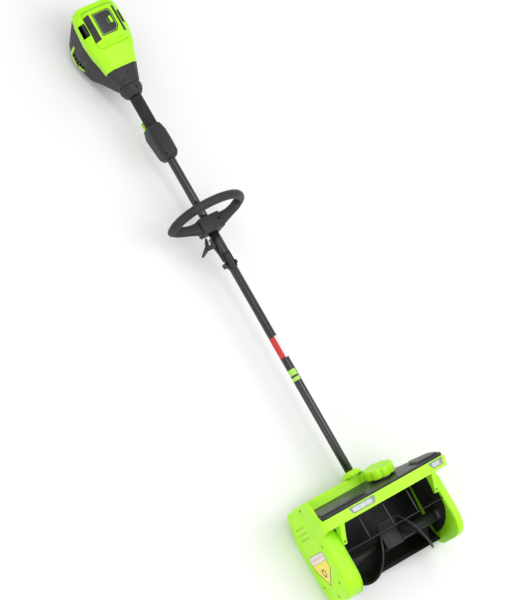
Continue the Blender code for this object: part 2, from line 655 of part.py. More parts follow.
def fold_joint():
    sleeve = add("fold_sleeve", ring_mesh((0, SLEEVE_LOW_Y, 0), (0, SLEEVE_HIGH_Y, 0), SLEEVE_RADIUS,
                                          SLEEVE_BORE), "black")
    half = SLEEVE_BORE - 0.00005
    front_open = FOLD_PIN_Y + 0.034
    cut(sleeve, box_mesh((-half, 0.88, -0.03), (half, TUBE_JOIN_Y, 0.0)))
    cut(sleeve, box_mesh((-half, 0.88, -0.001), (half, front_open, 0.03)))
    cut(sleeve, cone_mesh((-0.02, FOLD_PIN_Y, 0), (0.02, FOLD_PIN_Y, 0), 0.0043, sides=16))
    cut(sleeve, cone_mesh((-0.02, LOCK_PIN_Y, 0), (-0.004, LOCK_PIN_Y, 0), 0.0036, sides=16))

    axis = (0, FOLD_PIN_Y, 0)
    pin = rod("fold_pin", (-0.0185, FOLD_PIN_Y, 0), (0.0205, FOLD_PIN_Y, 0), 0.0040, "steel", axis, 16)
    join(pin, cone_mesh((-0.0245, FOLD_PIN_Y, 0), (-0.0160, FOLD_PIN_Y, 0), 0.0075, sides=16))
    nut = rod("fold_nut", (0.0160, FOLD_PIN_Y, 0), (0.0200, FOLD_PIN_Y, 0), 0.0068, "steel", None, 6)
    cut(nut, cone_mesh((0.010, FOLD_PIN_Y, 0), (0.025, FOLD_PIN_Y, 0), 0.0043, sides=16))

    y = LOCK_PIN_Y
    px, py, pz = LEVER_PIVOT
    bracket = box("latch_bracket", (-0.0205, py - 0.0070, -0.0085), (-0.0161, y + 0.0060, 0.0085), "black")
    for side in (-1, 1):
        ear = sorted((side * 0.0048, side * 0.0085))
        join(bracket, box_mesh((px - 0.0060, py - 0.0065, ear[0]), (-0.0180, py + 0.0055, ear[1])))
    strap = [(-0.0161, py), (-0.0161, 0.9145), (-0.0175, 0.9145), (-0.0185, 0.938), (-0.0235, py)]
    join(bracket, outline_mesh([strap], -0.0030, 0.0030, FACING))
    cut(bracket, cone_mesh((-0.03, y, 0), (-0.01, y, 0), 0.0036, sides=16))
    cut(bracket, cone_mesh((px, py, -0.02), (px, py, 0.02), 0.0023, sides=12))
    bolt = rod("lock_pin", (-0.0284, y, 0), (-SLEEVE_BORE, y, 0), 0.0032, "steel", (-0.0284, y, 0), 12)
    join(bolt, cone_mesh((-0.0410, y, 0), (-0.0200, y, 0), 0.0016, sides=12))
    join(bolt, cone_mesh((-0.0418, y, 0), (-0.0402, y, 0), 0.0035, sides=12))

    blade = [(-0.0265, 0.9960), (-0.0310, 0.9975), (-0.0400, 0.9800), (-0.0640, 0.9585), (-0.0675, 0.9525),
             (-0.0615, 0.9510), (-0.0370, 0.9640), (-0.0320, 0.9750)]
    lever = add("latch_lever", outline_mesh([blade], -0.0040, 0.0040, FACING), "black", LEVER_PIVOT)
    cut(lever, box_mesh((-0.0450, y - 0.0045, -0.0021), (-0.0250, 1.0000, 0.0021)))
    join(lever, cone_mesh((px, py, -0.0095), (px, py, 0.0095), 0.0020, sides=12))


# ---- upper pole and loop handle ---------------------------------------------------------------------
def upper_pole():
    add("upper_tube", ring_mesh((0, TUBE_JOIN_Y + 0.001, 0), (0, 1.500, 0), POLE_RADIUS, POLE_BORE), "black")
    rod("upper_cable", (0, TUBE_JOIN_Y + 0.002, 0), (0, 1.498, 0), 0.003, "dark", sides=8)


def loop_handle():
    """D-shaped loop round the front of the pole, with wide webs back to a two-piece clamp."""
    low, high = CLAMP_Y
    origin = (0, low, 0)
    steps = 20
    rail = []
    for i in range(steps + 1):
        turn = pi * i / steps
        rail.append((-LOOP_HALF * cos(turn), 1.053 + 0.016 * sin(turn), 0.012 + LOOP_DEPTH * sin(turn) ** 0.8))
    handle = box("loop_handle", (-0.035, low, GAP), (0.035, high, 0.031), "dark", origin)
    bevel(handle, 0.004, 1)
    join(handle, tube_mesh(rail, LOOP_RADIUS, 3))
    for side in (-1, 1):
        web = [(side * 0.030, low + 0.001), (side * 0.062, low + 0.004), (side * 0.098, low + 0.024),
               (side * 0.1220, 1.040), (side * 0.1230, 1.054), (side * 0.094, 1.058),
               (side * 0.060, high - 0.010), (side * 0.030, high - 0.001)]
        join(handle, outline_mesh([web], GAP, 0.021, FACING))
    cut(handle, cone_mesh((0, 0.9, 0), (0, 1.2, 0), POLE_RADIUS + GAP))
    cap = box("handle_clamp_cap", (-0.035, low, -0.026), (0.035, high, -GAP), "dark", origin)
    bevel(cap, 0.004, 1)
    cut(cap, cone_mesh((0, 0.9, 0), (0, 1.2, 0), POLE_RADIUS + GAP))
    middle = (low + high) / 2
    for name, x in (("clamp_bolt_left", -0.026), ("clamp_bolt_right", 0.026)):
        for piece in (handle, cap):
            cut(piece, cone_mesh((x, middle, -0.030), (x, middle, 0.024), 0.0025, sides=12))
            cut(piece, cone_mesh((x, middle, -0.030), (x, middle, -0.0215), 0.0050, sides=12))
        bolt = rod(name, (x, middle, -0.0235), (x, middle, 0.020), 0.0020, "steel", origin, 12)
        join(bolt, cone_mesh((x, middle, -0.0250), (x, middle, -0.0220), 0.0045, sides=12))


# ---- trigger housing and grip -----------------------------------------------------------------------
def octagon(y, half, low, high, chamfer, lean=0.0):
    """Box section with cut corners, square to the pole; lean shifts its front towards +y."""
    corners = [(-half + chamfer, low), (half - chamfer, low), (half, low + chamfer), (half, high - chamfer),
               (half - chamfer, high), (-half + chamfer, high), (-half, high - chamfer), (-half, low + chamfer)]
    return [(x, y + lean * z, z) for x, z in corners]


def trigger_housing():
    low, high = HOUSING_Y
    stations = [(low, 0.018, -0.022, 0.022, 0.007), (low + 0.012, 0.025, -0.029, 0.030, 0.010),
                (low + 0.050, 0.026, -0.037, 0.031, 0.011), (low + 0.085, 0.026, -0.045, 0.029, 0.011),
                (high, 0.021, -0.036, 0.022, 0.008)]
    for name, side in (("trigger_housing_left", -1), ("trigger_housing_right", 1)):
        half = add(name, loft_mesh([octagon(*station) for station in stations]), "dark")
        keep = sorted((side * GAP / 2, side * 0.08))
        combine(half, box_mesh((keep[0], 1.2, -0.1), (keep[1], 1.4, 0.1)), "INTERSECT")
        cut(half, cone_mesh((0, 1.2, 0), (0, 1.4, 0), POLE_RADIUS + GAP))
        cut(half, box_mesh((-0.0125, 1.293, -0.060), (0.0125, 1.375, -0.0165)))
        cut(half, cone_mesh((-0.0165, *TRIGGER_PIVOT[1:]), (0.0165, *TRIGGER_PIVOT[1:]), 0.0033, sides=12))
        if side > 0:
            cut(half, cone_mesh((0.010, 1.315, -0.026), (0.040, 1.315, -0.026), 0.0063, sides=16))
    trigger_side = [(1.336, -0.020), (1.352, -0.021), (1.3580, -0.0330), (1.386, -0.0365), (1.390, -0.0420),
                    (1.384, -0.0460), (1.350, -0.0470), (1.331, -0.0420), (1.330, -0.0240)]
    lever = add("trigger", outline_mesh([trigger_side], -0.0095, 0.0095), "lime", TRIGGER_PIVOT)
    bevel(lever, 0.001, 1)
    join(lever, cone_mesh((-0.0155, *TRIGGER_PIVOT[1:]), (0.0155, *TRIGGER_PIVOT[1:]), 0.0027, sides=12))
    box("trigger_switch", (-0.009, 1.297, -0.037), (0.009, 1.3235, -0.0175), "black")
    rod("lock_off_button", (0.0133, 1.315, -0.026), (0.0310, 1.315, -0.026), 0.0057, "lime",
        (0.0310, 1.315, -0.026), 16)
    low, high = GRIP_Y
    half = (high - low) / 2
    profile = [(POLE_RADIUS + GAP, -half), (POLE_RADIUS + GAP, half), (GRIP_RADIUS - 0.002, half),
               (GRIP_RADIUS, half - 0.004), (GRIP_RADIUS, -half + 0.004), (GRIP_RADIUS - 0.001, -half)]
    place = Matrix.Translation((0.0, (low + high) / 2, 0.0)) @ Matrix.Rotation(-pi / 2, 4, "X")
    add("rear_grip", turned_mesh(profile, place, 32), "dark")


# ---- power head -------------------------------------------------------------------------------------
STATIONS = [(POWER_HEAD_Y, 0.030, -0.034, 0.030, 0.012, 0.0),
            (1.548, 0.050, -0.074, 0.038, 0.016, 0.0),
            (1.578, 0.057, -0.1075, 0.050, 0.018, 0.0),
            (1.604, 0.066, -0.1075, 0.060, 0.018, 0.0),
            (1.645, 0.073, -0.1075, 0.066, 0.018, 0.10),
            (1.700, 0.071, -0.1070, 0.067, 0.018, 0.25),
            (1.726, 0.066, -0.1020, 0.066, 0.018, 0.30)]


def shell_outer():
    return loft_mesh([octagon(*station) for station in STATIONS])


def shell_inner(wall=0.003):
    rings = []
    for y, half, low, high, chamfer, lean in STATIONS[1:]:
        last = y > 1.72
        rings.append(octagon(y - (wall if last else 0.0), half - wall, low + wall, high - wall, chamfer, lean))
    first = STATIONS[0]
    rings.insert(0, octagon(first[0] + wall, first[1] - wall, first[2] + wall, first[3] - wall, 0.010, 0.0))
    return loft_mesh(rings)


def lime_region(grow):
    """Side view of the part of the body that belongs to the lime upper shell."""
    side = [(UPPER_SHELL_Y - grow, 0.004 - grow), (1.640, 0.019 - grow), (1.722, 0.026 - grow),
            (1.800, 0.027 - grow), (1.800, 0.150), (UPPER_SHELL_Y - grow, 0.150)]
    return outline_mesh([side], -0.2, 0.2)


def finger_notch(side):
    edge = sorted((side * 0.0535, side * 0.090))
    return box_mesh((edge[0], 1.658, 0.045), (edge[1], 1.700, 0.120))


def power_head():
    lower = add("lower_shell", shell_outer(), "dark")
    cut(lower, shell_inner(), lime_region(GAP), cone_mesh((0, 1.48, 0), (0, 1.52, 0), POLE_RADIUS + GAP))
    for side in (-1, 1):
        for level in range(5):
            y = 1.6145 + 0.0112 * level
            slot = sorted((side * 0.050, side * 0.080))
            cut(lower, box_mesh((slot[0], y, -0.0835), (slot[1], y + 0.006, -0.0585)))
    upper = add("upper_shell", shell_outer(), "lime")
    combine(upper, lime_region(0.0), "INTERSECT")
    cut(upper, shell_inner())
    low, high = BATTERY_LOW, BATTERY_HIGH
    cut(upper, box_mesh((low[0] - 0.0006, low[1] - 0.0006, -0.01), (high[0] + 0.0006, high[1] + 0.0006, 0.2)))
    for side in (-1, 1):
        cut(upper, finger_notch(side))
        slot = sorted((side * 0.045, side * 0.062))
        cut(upper, box_mesh((slot[0], 1.6615, 0.0455), (slot[1], 1.6965, 0.0645)))

    place = Matrix.Translation((0.0, sum(COLLAR_Y) / 2, 0.0)) @ Matrix.Rotation(-pi / 2, 4, "X")
    half = (COLLAR_Y[1] - COLLAR_Y[0]) / 2
    profile = [(POLE_RADIUS + GAP, -half), (POLE_RADIUS + GAP, half), (0.0330, half), (0.0345, half - 0.006),
               (0.0300, -half + 0.010), (0.0210, -half)]
    add("neck_collar", turned_mesh(profile, place, 32), "dark")

    pack = box("battery_pack", low, high, "lime", (0.0, 1.668, low[2]))
    bevel(pack, 0.009, 2)
    box("terminal_block", (-0.022, 1.640, 0.010), (0.022, 1.700, 0.0255), "black")
    box("motor_controller", (-0.040, 1.605, -0.060), (0.040, 1.680, -0.040), "grey")
    for name, side in (("release_button_left", -1), ("release_button_right", 1)):
        edge = sorted((side * 0.0540, side * 0.0610))
        box(name, (edge[0], 1.662, 0.046), (edge[1], 1.696, 0.064), "black", (side * 0.061, 1.679, 0.055))
    ends = (FOOT_Y - 0.013, FOOT_Y + 0.012)
    pad = [(ends[0], rest_z(ends[0])), (ends[1], rest_z(ends[1])), (ends[1], -0.1078), (ends[0], -0.1078)]
    add("rest_foot", outline_mesh([pad], -0.035, 0.035), "grey")


side_plates()
drive_housing()
auger()
deck()
headlights()
chamber()
vanes()
knob()
lower_pole()
fold_joint()
upper_pole()
loop_handle()
trigger_housing()
power_head()
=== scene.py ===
"""Looks of the cordless snow shovel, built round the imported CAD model.

All pieces are laid out in the shovel's own frame, in metres: x runs across the head, y along the pole from
the auger's axis to the battery, and z out of the front. SHOVEL takes that frame to the parked pose.
"""

import json
from math import cos, pi, radians, sin

import bmesh
import bpy
from mathutils import Matrix, Vector


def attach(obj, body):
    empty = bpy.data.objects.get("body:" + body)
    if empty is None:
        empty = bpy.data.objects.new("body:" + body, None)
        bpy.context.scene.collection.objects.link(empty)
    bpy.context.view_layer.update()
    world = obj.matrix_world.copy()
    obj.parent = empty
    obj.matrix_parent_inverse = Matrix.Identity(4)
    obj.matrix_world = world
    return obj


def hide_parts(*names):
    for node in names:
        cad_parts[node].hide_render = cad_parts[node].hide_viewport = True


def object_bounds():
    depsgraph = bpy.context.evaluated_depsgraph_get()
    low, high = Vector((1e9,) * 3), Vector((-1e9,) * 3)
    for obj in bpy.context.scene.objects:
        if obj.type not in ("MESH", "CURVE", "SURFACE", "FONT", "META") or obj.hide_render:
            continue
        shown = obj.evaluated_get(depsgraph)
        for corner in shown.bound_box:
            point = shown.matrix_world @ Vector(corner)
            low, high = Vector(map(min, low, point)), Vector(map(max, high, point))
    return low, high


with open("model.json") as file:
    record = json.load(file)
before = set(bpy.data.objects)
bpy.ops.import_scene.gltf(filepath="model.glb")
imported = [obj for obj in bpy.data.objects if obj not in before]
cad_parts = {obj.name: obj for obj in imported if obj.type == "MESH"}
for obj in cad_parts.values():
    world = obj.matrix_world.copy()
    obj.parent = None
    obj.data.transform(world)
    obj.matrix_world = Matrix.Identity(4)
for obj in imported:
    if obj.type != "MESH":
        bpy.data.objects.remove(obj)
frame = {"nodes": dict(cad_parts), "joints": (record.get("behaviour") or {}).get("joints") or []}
CAD_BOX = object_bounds()

# ---- the shovel's frame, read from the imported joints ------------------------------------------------
JOINTS = {joint["name"]: joint for joint in frame["joints"]}
ORIGIN = Vector(JOINTS["auger_spin"]["pos_m"])
ALONG_POLE = Vector(JOINTS["loop_slide"]["axis"]).normalized()
ACROSS_HEAD = Vector((1.0, 0.0, 0.0))
OUT_FRONT = ACROSS_HEAD.cross(ALONG_POLE)
SHOVEL = Matrix.Translation(ORIGIN) @ Matrix((ACROSS_HEAD, ALONG_POLE, OUT_FRONT)).transposed().to_4x4()
TO_SHOVEL = SHOVEL.inverted()


def span(node):
    """Lowest and highest corners of a CAD node, in the shovel's frame."""
    points = [TO_SHOVEL @ vertex.co for vertex in frame["nodes"][node].data.vertices]
    return (Vector(min(p[i] for p in points) for i in range(3)),
            Vector(max(p[i] for p in points) for i in range(3)))


def floor_z(y):
    """Height of the floor in the shovel's frame."""
    return -(ORIGIN.z + y * ALONG_POLE.z) / OUT_FRONT.z


# ---- materials --------------------------------------------------------------------------------------
def mixed(tree, factor, low, high):
    """Colour between two colours, by a factor."""
    node = tree.nodes.new("ShaderNodeMix")
    node.data_type = "RGBA"
    tree.links.new(factor, node.inputs["Factor"])
    for socket, value in ((node.inputs["A"], low), (node.inputs["B"], high)):
        if isinstance(value, tuple):
            socket.default_value = (*value, 1.0)
        else:
            tree.links.new(value, socket)
    return node.outputs["Result"]


def noise(tree, scale, detail=3.0, stretch=(1.0, 1.0, 1.0)):
    """Noise in the piece's own coordinates; scale is features per metre."""
    place = tree.nodes.new("ShaderNodeTexCoord")
    size = tree.nodes.new("ShaderNodeMapping")
    size.inputs["Scale"].default_value = stretch
    cloud = tree.nodes.new("ShaderNodeTexNoise")
    cloud.inputs["Scale"].default_value = scale
    cloud.inputs["Detail"].default_value = detail
    tree.links.new(place.outputs["Object"], size.inputs["Vector"])
    tree.links.new(size.outputs["Vector"], cloud.inputs["Vector"])
    return cloud.outputs["Fac"]


def ranged(tree, value, low, high, new_low=0.0, new_high=1.0):
    node = tree.nodes.new("ShaderNodeMapRange")
    for name, number in (("From Min", low), ("From Max", high), ("To Min", new_low), ("To Max", new_high)):
        node.inputs[name].default_value = number
    tree.links.new(value, node.inputs["Value"])
    return node.outputs["Result"]


def material(name, colour, roughness, grain=0.0, grain_size=1400.0, shade=0.12, wear_and_sheen=0.0, metallic=0.0,
             coat=0.0, specular=0.5, stretch=(1.0, 1.0, 1.0), scuffs=0.05):
    """Material with slow colour drift, moulded or brushed grain, scuffed gloss and lighter edges: edge wear,
    and on the dark auger and vanes a painted highlight.
    """
    made = bpy.data.materials.new(name)
    made.use_nodes = True
    tree = made.node_tree
    shader = tree.nodes["Principled BSDF"]
    shader.inputs["Metallic"].default_value = metallic
    shader.inputs["Coat Weight"].default_value = coat
    shader.inputs["Coat Roughness"].default_value = 0.12
    shader.inputs["Specular IOR Level"].default_value = specular
    dark = tuple(channel * (1.0 - shade) for channel in colour)
    light = tuple(min(1.0, channel * (1.0 + shade * 0.5) + 0.01 * shade) for channel in colour)
    drift = ranged(tree, noise(tree, 11.0, 4.0), 0.35, 0.65)
    base = mixed(tree, drift, dark, light)
    # Edges lightened by pointiness: wear on most finishes, and a painted highlight on the dark auger and
    # vanes.
    if wear_and_sheen:
        geometry = tree.nodes.new("ShaderNodeNewGeometry")
        edge = ranged(tree, geometry.outputs["Pointiness"], 0.53, 0.62, 0.0, wear_and_sheen)
        edge_wear_and_sheen_colour = tuple(min(1.0, channel * 1.25 + 0.10) for channel in colour)
        base = mixed(tree, edge, base, edge_wear_and_sheen_colour)
    tree.links.new(base, shader.inputs["Base Color"])
    rubbed = ranged(tree, noise(tree, 45.0, 6.0, stretch), 0.3, 0.7, roughness - scuffs, roughness + scuffs)
    tree.links.new(rubbed, shader.inputs["Roughness"])
    if grain:
        bump = tree.nodes.new("ShaderNodeBump")
        bump.inputs["Strength"].default_value = 0.6
        bump.inputs["Distance"].default_value = grain
        tree.links.new(noise(tree, grain_size, 2.0, stretch), bump.inputs["Height"])
        tree.links.new(bump.outputs["Normal"], shader.inputs["Normal"])
    return made


LIME = (0.42, 0.90, 0.008)
MATERIALS = {
    "lime": material("lime_plastic", LIME, 0.38, 0.00005, 900.0, shade=0.06, wear_and_sheen=0.2, specular=0.35),
    # Darker copy of the lime plastic for the side plates beside the auger: painted shade for the shade on
    # their inner faces.
    "lime_inside_painted_shade": material("lime_plastic_painted_shade", (0.30, 0.74, 0.008), 0.45, 0.00008, 900.0, shade=0.10,
                            specular=0.3),
    "dark": material("dark_plastic", (0.026, 0.0265, 0.028), 0.50, 0.00012, 1300.0, shade=0.18, wear_and_sheen=0.10,
                     specular=0.35),
    "cover": material("black_cover_plastic", (0.012, 0.012, 0.013), 0.34, 0.00006, 1200.0, wear_and_sheen=0.10,
                      specular=0.4),
    "chamber": material("chamber_plastic", (0.005, 0.005, 0.0055), 0.46, 0.00012, 900.0, shade=0.3, wear_and_sheen=0.25,
                        specular=0.25),
    # The auger's lighter edges are a painted highlight along the flight lips.
    "auger": material("auger_rubber", (0.006, 0.006, 0.0065), 0.44, 0.00015, 700.0, shade=0.3, wear_and_sheen=0.5,
                      specular=0.3),
    # The vanes' lighter edges are a painted highlight along their glossy edges.
    "vane": material("vane_plastic", (0.005, 0.005, 0.0055), 0.16, 0.00003, 900.0, shade=0.2, wear_and_sheen=0.6,
                     specular=0.55, scuffs=0.03),
    "grip": material("grip_rubber", (0.014, 0.014, 0.015), 0.62, 0.00018, 1100.0, shade=0.2, wear_and_sheen=0.1,
                     specular=0.3),
    "grey": material("grey_plastic", (0.17, 0.17, 0.175), 0.55, 0.00010, 1100.0, wear_and_sheen=0.1),
    "pale_grey": material("pale_grey_plastic", (0.42, 0.42, 0.43), 0.5, 0.00010, 1100.0, wear_and_sheen=0.1),
    "tube": material("black_gloss_tube", (0.006, 0.006, 0.0065), 0.20, 0.00003, 500.0, wear_and_sheen=0.1, coat=0.4,
                     stretch=(1.0, 0.03, 1.0), scuffs=0.05),
    "facet": material("reflector_facets", (0.66, 0.67, 0.68), 0.25, shade=0.1, coat=0.3, scuffs=0.03),
    "steel": material("zinc_steel", (0.56, 0.57, 0.59), 0.32, 0.00004, 900.0, metallic=1.0, wear_and_sheen=0.2),
    "dark_steel": material("blackened_steel", (0.05, 0.05, 0.055), 0.38, 0.00005, 900.0, metallic=0.8,
                           wear_and_sheen=0.3),
    "copper": material("copper_winding", (0.62, 0.28, 0.12), 0.35, 0.00020, 300.0, metallic=1.0,
                       stretch=(6.0, 1.0, 1.0)),
    "board": material("circuit_board", (0.02, 0.10, 0.05), 0.45, 0.00005, 600.0, shade=0.3),
    "belt": material("belt_rubber", (0.015, 0.015, 0.015), 0.70, 0.00020, 400.0),
    "cable": material("cable_sheath", (0.02, 0.02, 0.02), 0.45, 0.00005, 800.0),
    "led": material("led_yellow_white", (0.95, 0.90, 0.62), 0.25, 0.0, shade=0.05),
    "panel": material("battery_panel", (0.020, 0.021, 0.022), 0.30, 0.00003, 900.0, coat=0.3),
}


for tint, colour, gloss in (("white", (0.80, 0.78, 0.78), 0.40), ("pink", (0.83, 0.55, 0.58), 0.40),
                            ("yellow", (0.90, 0.76, 0.10), 0.40), ("brown", (0.20, 0.12, 0.08), 0.40),
                            ("red", (0.62, 0.03, 0.025), 0.35), ("lime", (0.40, 0.75, 0.10), 0.35)):
    MATERIALS[f"{tint}_label"] = material(f"{tint}_label", colour, gloss, 0.00002, 700.0, shade=0.06)


def clear_material():
    """Clear plastic, mostly see-through, with a soft reflection on its face."""
    made = bpy.data.materials.new("clear_lens")
    made.use_nodes = True
    tree = made.node_tree
    shader = tree.nodes["Principled BSDF"]
    shader.inputs["Base Color"].default_value = (0.80, 0.84, 0.87, 1.0)
    shader.inputs["Alpha"].default_value = 0.22
    rough = ranged(tree, noise(tree, 60.0), 0.3, 0.7, 0.05, 0.12)
    tree.links.new(rough, shader.inputs["Roughness"])
    return made


MATERIALS["lens"] = clear_material()


# ---- shape helpers ----------------------------------------------------------------------------------
def from_bmesh(build):
    shape = bmesh.new()
    build(shape)
    bmesh.ops.recalc_face_normals(shape, faces=shape.faces)
    mesh = bpy.data.meshes.new("shape")
    shape.to_mesh(mesh)
    shape.free()
    return mesh


def joined(*meshes):
    """Several meshes as the separate shells of one."""
    def build(shape):
        for mesh in meshes:
            shape.from_mesh(mesh)
    return from_bmesh(build)


def box_mesh(low, high):
    size = [b - a for a, b in zip(low, high)]
    centre = [(a + b) / 2 for a, b in zip(low, high)]
    place = Matrix.Translation(centre) @ Matrix.Diagonal((*size, 1.0))
    return from_bmesh(lambda shape: bmesh.ops.create_cube(shape, size=1.0, matrix=place))


def aligned(start, end):
    """Matrix whose Z runs from start to end, with its origin halfway."""
    start, end = Vector(start), Vector(end)
    turn = (end - start).to_track_quat("Z", "Y").to_matrix().to_4x4()
    return Matrix.Translation((start + end) / 2) @ turn


def cone_mesh(start, end, radius, end_radius=None, sides=48):
    depth = (Vector(end) - Vector(start)).length
    far = radius if end_radius is None else end_radius
    return from_bmesh(lambda shape: bmesh.ops.create_cone(
        shape, cap_ends=True, segments=sides, radius1=radius, radius2=far, depth=depth,
        matrix=aligned(start, end)))


def curve_mesh(curve_data, matrix):
    """Turn a filled curve into a welded mesh, moved by a matrix."""
    holder = bpy.data.objects.new("curve", curve_data)
    bpy.context.scene.collection.objects.link(holder)
    depsgraph = bpy.context.evaluated_depsgraph_get()
    mesh = bpy.data.meshes.new_from_object(holder.evaluated_get(depsgraph))
    bpy.data.objects.remove(holder, do_unlink=True)
    mesh.transform(matrix)
    shape = bmesh.new()
    shape.from_mesh(mesh)
    bmesh.ops.remove_doubles(shape, verts=shape.verts, dist=1e-6)
    bmesh.ops.dissolve_limit(shape, angle_limit=radians(0.2), verts=shape.verts, edges=shape.edges)
    bmesh.ops.recalc_face_normals(shape, faces=shape.faces)
    shape.to_mesh(mesh)
    shape.free()
    return mesh


# Matrices that stand a flat outline up: its first number, its second number, and its thickness
ACROSS = Matrix(((0, 0, 1, 0), (1, 0, 0, 0), (0, 1, 0, 0), (0, 0, 0, 1)))     # (y, z), thick along x
FACING = Matrix(((1, 0, 0, 0), (0, 1, 0, 0), (0, 0, 1, 0), (0, 0, 0, 1)))     # (x, y), thick along z
ALONG = Matrix(((1, 0, 0, 0), (0, 0, 1, 0), (0, 1, 0, 0), (0, 0, 0, 1)))      # (x, z), thick along y


def outline_mesh(outlines, low, high, stand=ACROSS):
    """Extrude one or more closed outlines (the later ones are holes) from low to high."""
    data = bpy.data.curves.new("outline", "CURVE")
    data.dimensions = "2D"
    data.fill_mode = "BOTH"
    data.extrude = (high - low) / 2
    for points in outlines:
        spline = data.splines.new("POLY")
        spline.points.add(len(points) - 1)
        for corner, (a, b) in zip(spline.points, points):
            corner.co = (a, b, 0.0, 1.0)
        spline.use_cyclic_u = True
    return curve_mesh(data, stand @ Matrix.Translation((0.0, 0.0, (low + high) / 2)))


def tube_mesh(points, radius, sides=6, closed=False):
    """Round bar along a chain of points; radius may be one number or one for each point."""
    data = bpy.data.curves.new("bar", "CURVE")
    data.dimensions = "3D"
    data.bevel_depth = 1.0 if isinstance(radius, list) else radius
    data.bevel_resolution = sides
    data.use_fill_caps = True
    spline = data.splines.new("POLY")
    spline.points.add(len(points) - 1)
    for i, (corner, point) in enumerate(zip(spline.points, points)):
        corner.co = (*point, 1.0)
        if isinstance(radius, list):
            corner.radius = radius[i]
    spline.use_cyclic_u = closed
    return curve_mesh(data, Matrix.Identity(4))


def turned_mesh(profile, matrix, sides=72):
    """Turn a closed profile of (radius, height) points about its own Z axis."""
    def build(shape):
        ring = [shape.verts.new((radius, 0.0, height)) for radius, height in profile]
        edges = [shape.edges.new((ring[i], ring[(i + 1) % len(ring)])) for i in range(len(ring))]
        bmesh.ops.spin(shape, geom=ring + edges, cent=(0, 0, 0), axis=(0, 0, 1), angle=2 * pi,
                       steps=sides, use_merge=True, use_duplicate=False)
        bmesh.ops.remove_doubles(shape, verts=shape.verts, dist=1e-6)
    mesh = from_bmesh(build)
    mesh.transform(matrix)
    return mesh


def on_pole(y):
    """Matrix that stands a turned profile on the pole, its heights running towards the battery."""
    return Matrix.Translation((0.0, y, 0.0)) @ Matrix.Rotation(-pi / 2, 4, "X")


def loft_mesh(rings, closed=False):
    """Skin between rings of equally many points, with both ends filled unless it closes on itself."""
    def build(shape):
        loops = [[shape.verts.new(point) for point in ring] for ring in rings]
        count = len(loops[0])
        pairs = list(zip(loops, loops[1:]))
        if closed:
            pairs.append((loops[-1], loops[0]))
        for near, far in pairs:
            for i in range(count):
                j = (i + 1) % count
                shape.faces.new((near[i], near[j], far[j], far[i]))
        if not closed:
            shape.faces.new(list(reversed(loops[0])))
            shape.faces.new(loops[-1])
    return from_bmesh(build)


def arc(centre, radius, start, end, steps):
    """Points on a circle, with angles in degrees."""
    turns = [radians(start + (end - start) * i / steps) for i in range(steps + 1)]
    return [(centre[0] + radius * cos(t), centre[1] + radius * sin(t)) for t in turns]


def rounded(points, radius, steps=6):
    """Round every corner of an outline; radius may be one number or one for each corner."""
    out = []
    count = len(points)
    for i, point in enumerate(points):
        here = Vector(point)
        before = Vector(points[i - 1]) - here
        after = Vector(points[(i + 1) % count]) - here
        wanted = radius[i] if isinstance(radius, list) else radius
        half = before.angle(after) / 2
        if wanted <= 0.0 or abs(half - pi / 2) < 0.01:
            out.append(tuple(here))
            continue
        reach = min(wanted / abs(sin(half) / cos(half)), before.length * 0.49, after.length * 0.49)
        start = here + before.normalized() * reach
        end = here + after.normalized() * reach
        for step in range(steps + 1):
            t = step / steps
            out.append(tuple(start * (1 - t) ** 2 + here * 2 * t * (1 - t) + end * t ** 2))
    return out


def piece(name, mesh, finish, body, *nodes, sharp=35):
    """Link a mesh made in the shovel's frame as a visible piece that rides on a body."""
    thing = bpy.data.objects.new(name, mesh)
    bpy.context.scene.collection.objects.link(thing)
    mesh.shade_smooth()
    mesh.set_sharp_from_angle(angle=radians(sharp))
    mesh.materials.clear()
    mesh.materials.append(MATERIALS[finish])
    thing.matrix_world = SHOVEL
    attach(thing, body)
    if nodes:
        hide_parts(*nodes)
    return thing


def solid(mesh, *steps):
    """Apply a list of Boolean steps ("cut" or "join", mesh) and bevels ("bevel", width, segments, angle)."""
    work = bpy.data.objects.new("work", mesh)
    bpy.context.scene.collection.objects.link(work)
    helpers = []
    for kind, *values in steps:
        if kind == "bevel":
            step = work.modifiers.new(kind, "BEVEL")
            step.width, step.segments = values[0], values[1]
            step.limit_method = "ANGLE"
            step.angle_limit = radians(values[2] if len(values) > 2 else 35)
            step.use_clamp_overlap = True
        else:
            helper = bpy.data.objects.new("helper", values[0])
            bpy.context.scene.collection.objects.link(helper)
            helpers.append(helper)
            step = work.modifiers.new(kind, "BOOLEAN")
            step.operation = {"cut": "DIFFERENCE", "join": "UNION", "keep": "INTERSECT"}[kind]
            step.object = helper
            step.solver = "EXACT"
    depsgraph = bpy.context.evaluated_depsgraph_get()
    made = bpy.data.meshes.new_from_object(work.evaluated_get(depsgraph))
    for thing in [work, *helpers]:
        bpy.data.objects.remove(thing, do_unlink=True)
    return made


def cad_mesh(node):
    """A copy of a CAD node's mesh in the shovel's frame, with its flat faces whole again."""
    mesh = frame["nodes"][node].data.copy()
    mesh.transform(TO_SHOVEL)
    shape = bmesh.new()
    shape.from_mesh(mesh)
    bmesh.ops.remove_doubles(shape, verts=shape.verts, dist=1e-6)
    bmesh.ops.dissolve_limit(shape, angle_limit=radians(0.5), verts=shape.verts, edges=shape.edges)
    shape.to_mesh(mesh)
    shape.free()
    if "custom_normal" in mesh.attributes:
        mesh.attributes.remove(mesh.attributes["custom_normal"])
    return mesh


def refined(node, finish, body, width, segments=2, angle=35, sharp=35):
    """Stand a copy with rounded edges in for a CAD node."""
    return piece(f"{node}_refined", solid(cad_mesh(node), ("bevel", width, segments, angle)), finish, body,
                 node, sharp=sharp)


def dress(finish, *nodes):
    """Give CAD nodes that stay as they are a finish."""
    for node in nodes:
        mesh = frame["nodes"][node].data
        mesh.materials.clear()
        mesh.materials.append(MATERIALS[finish])


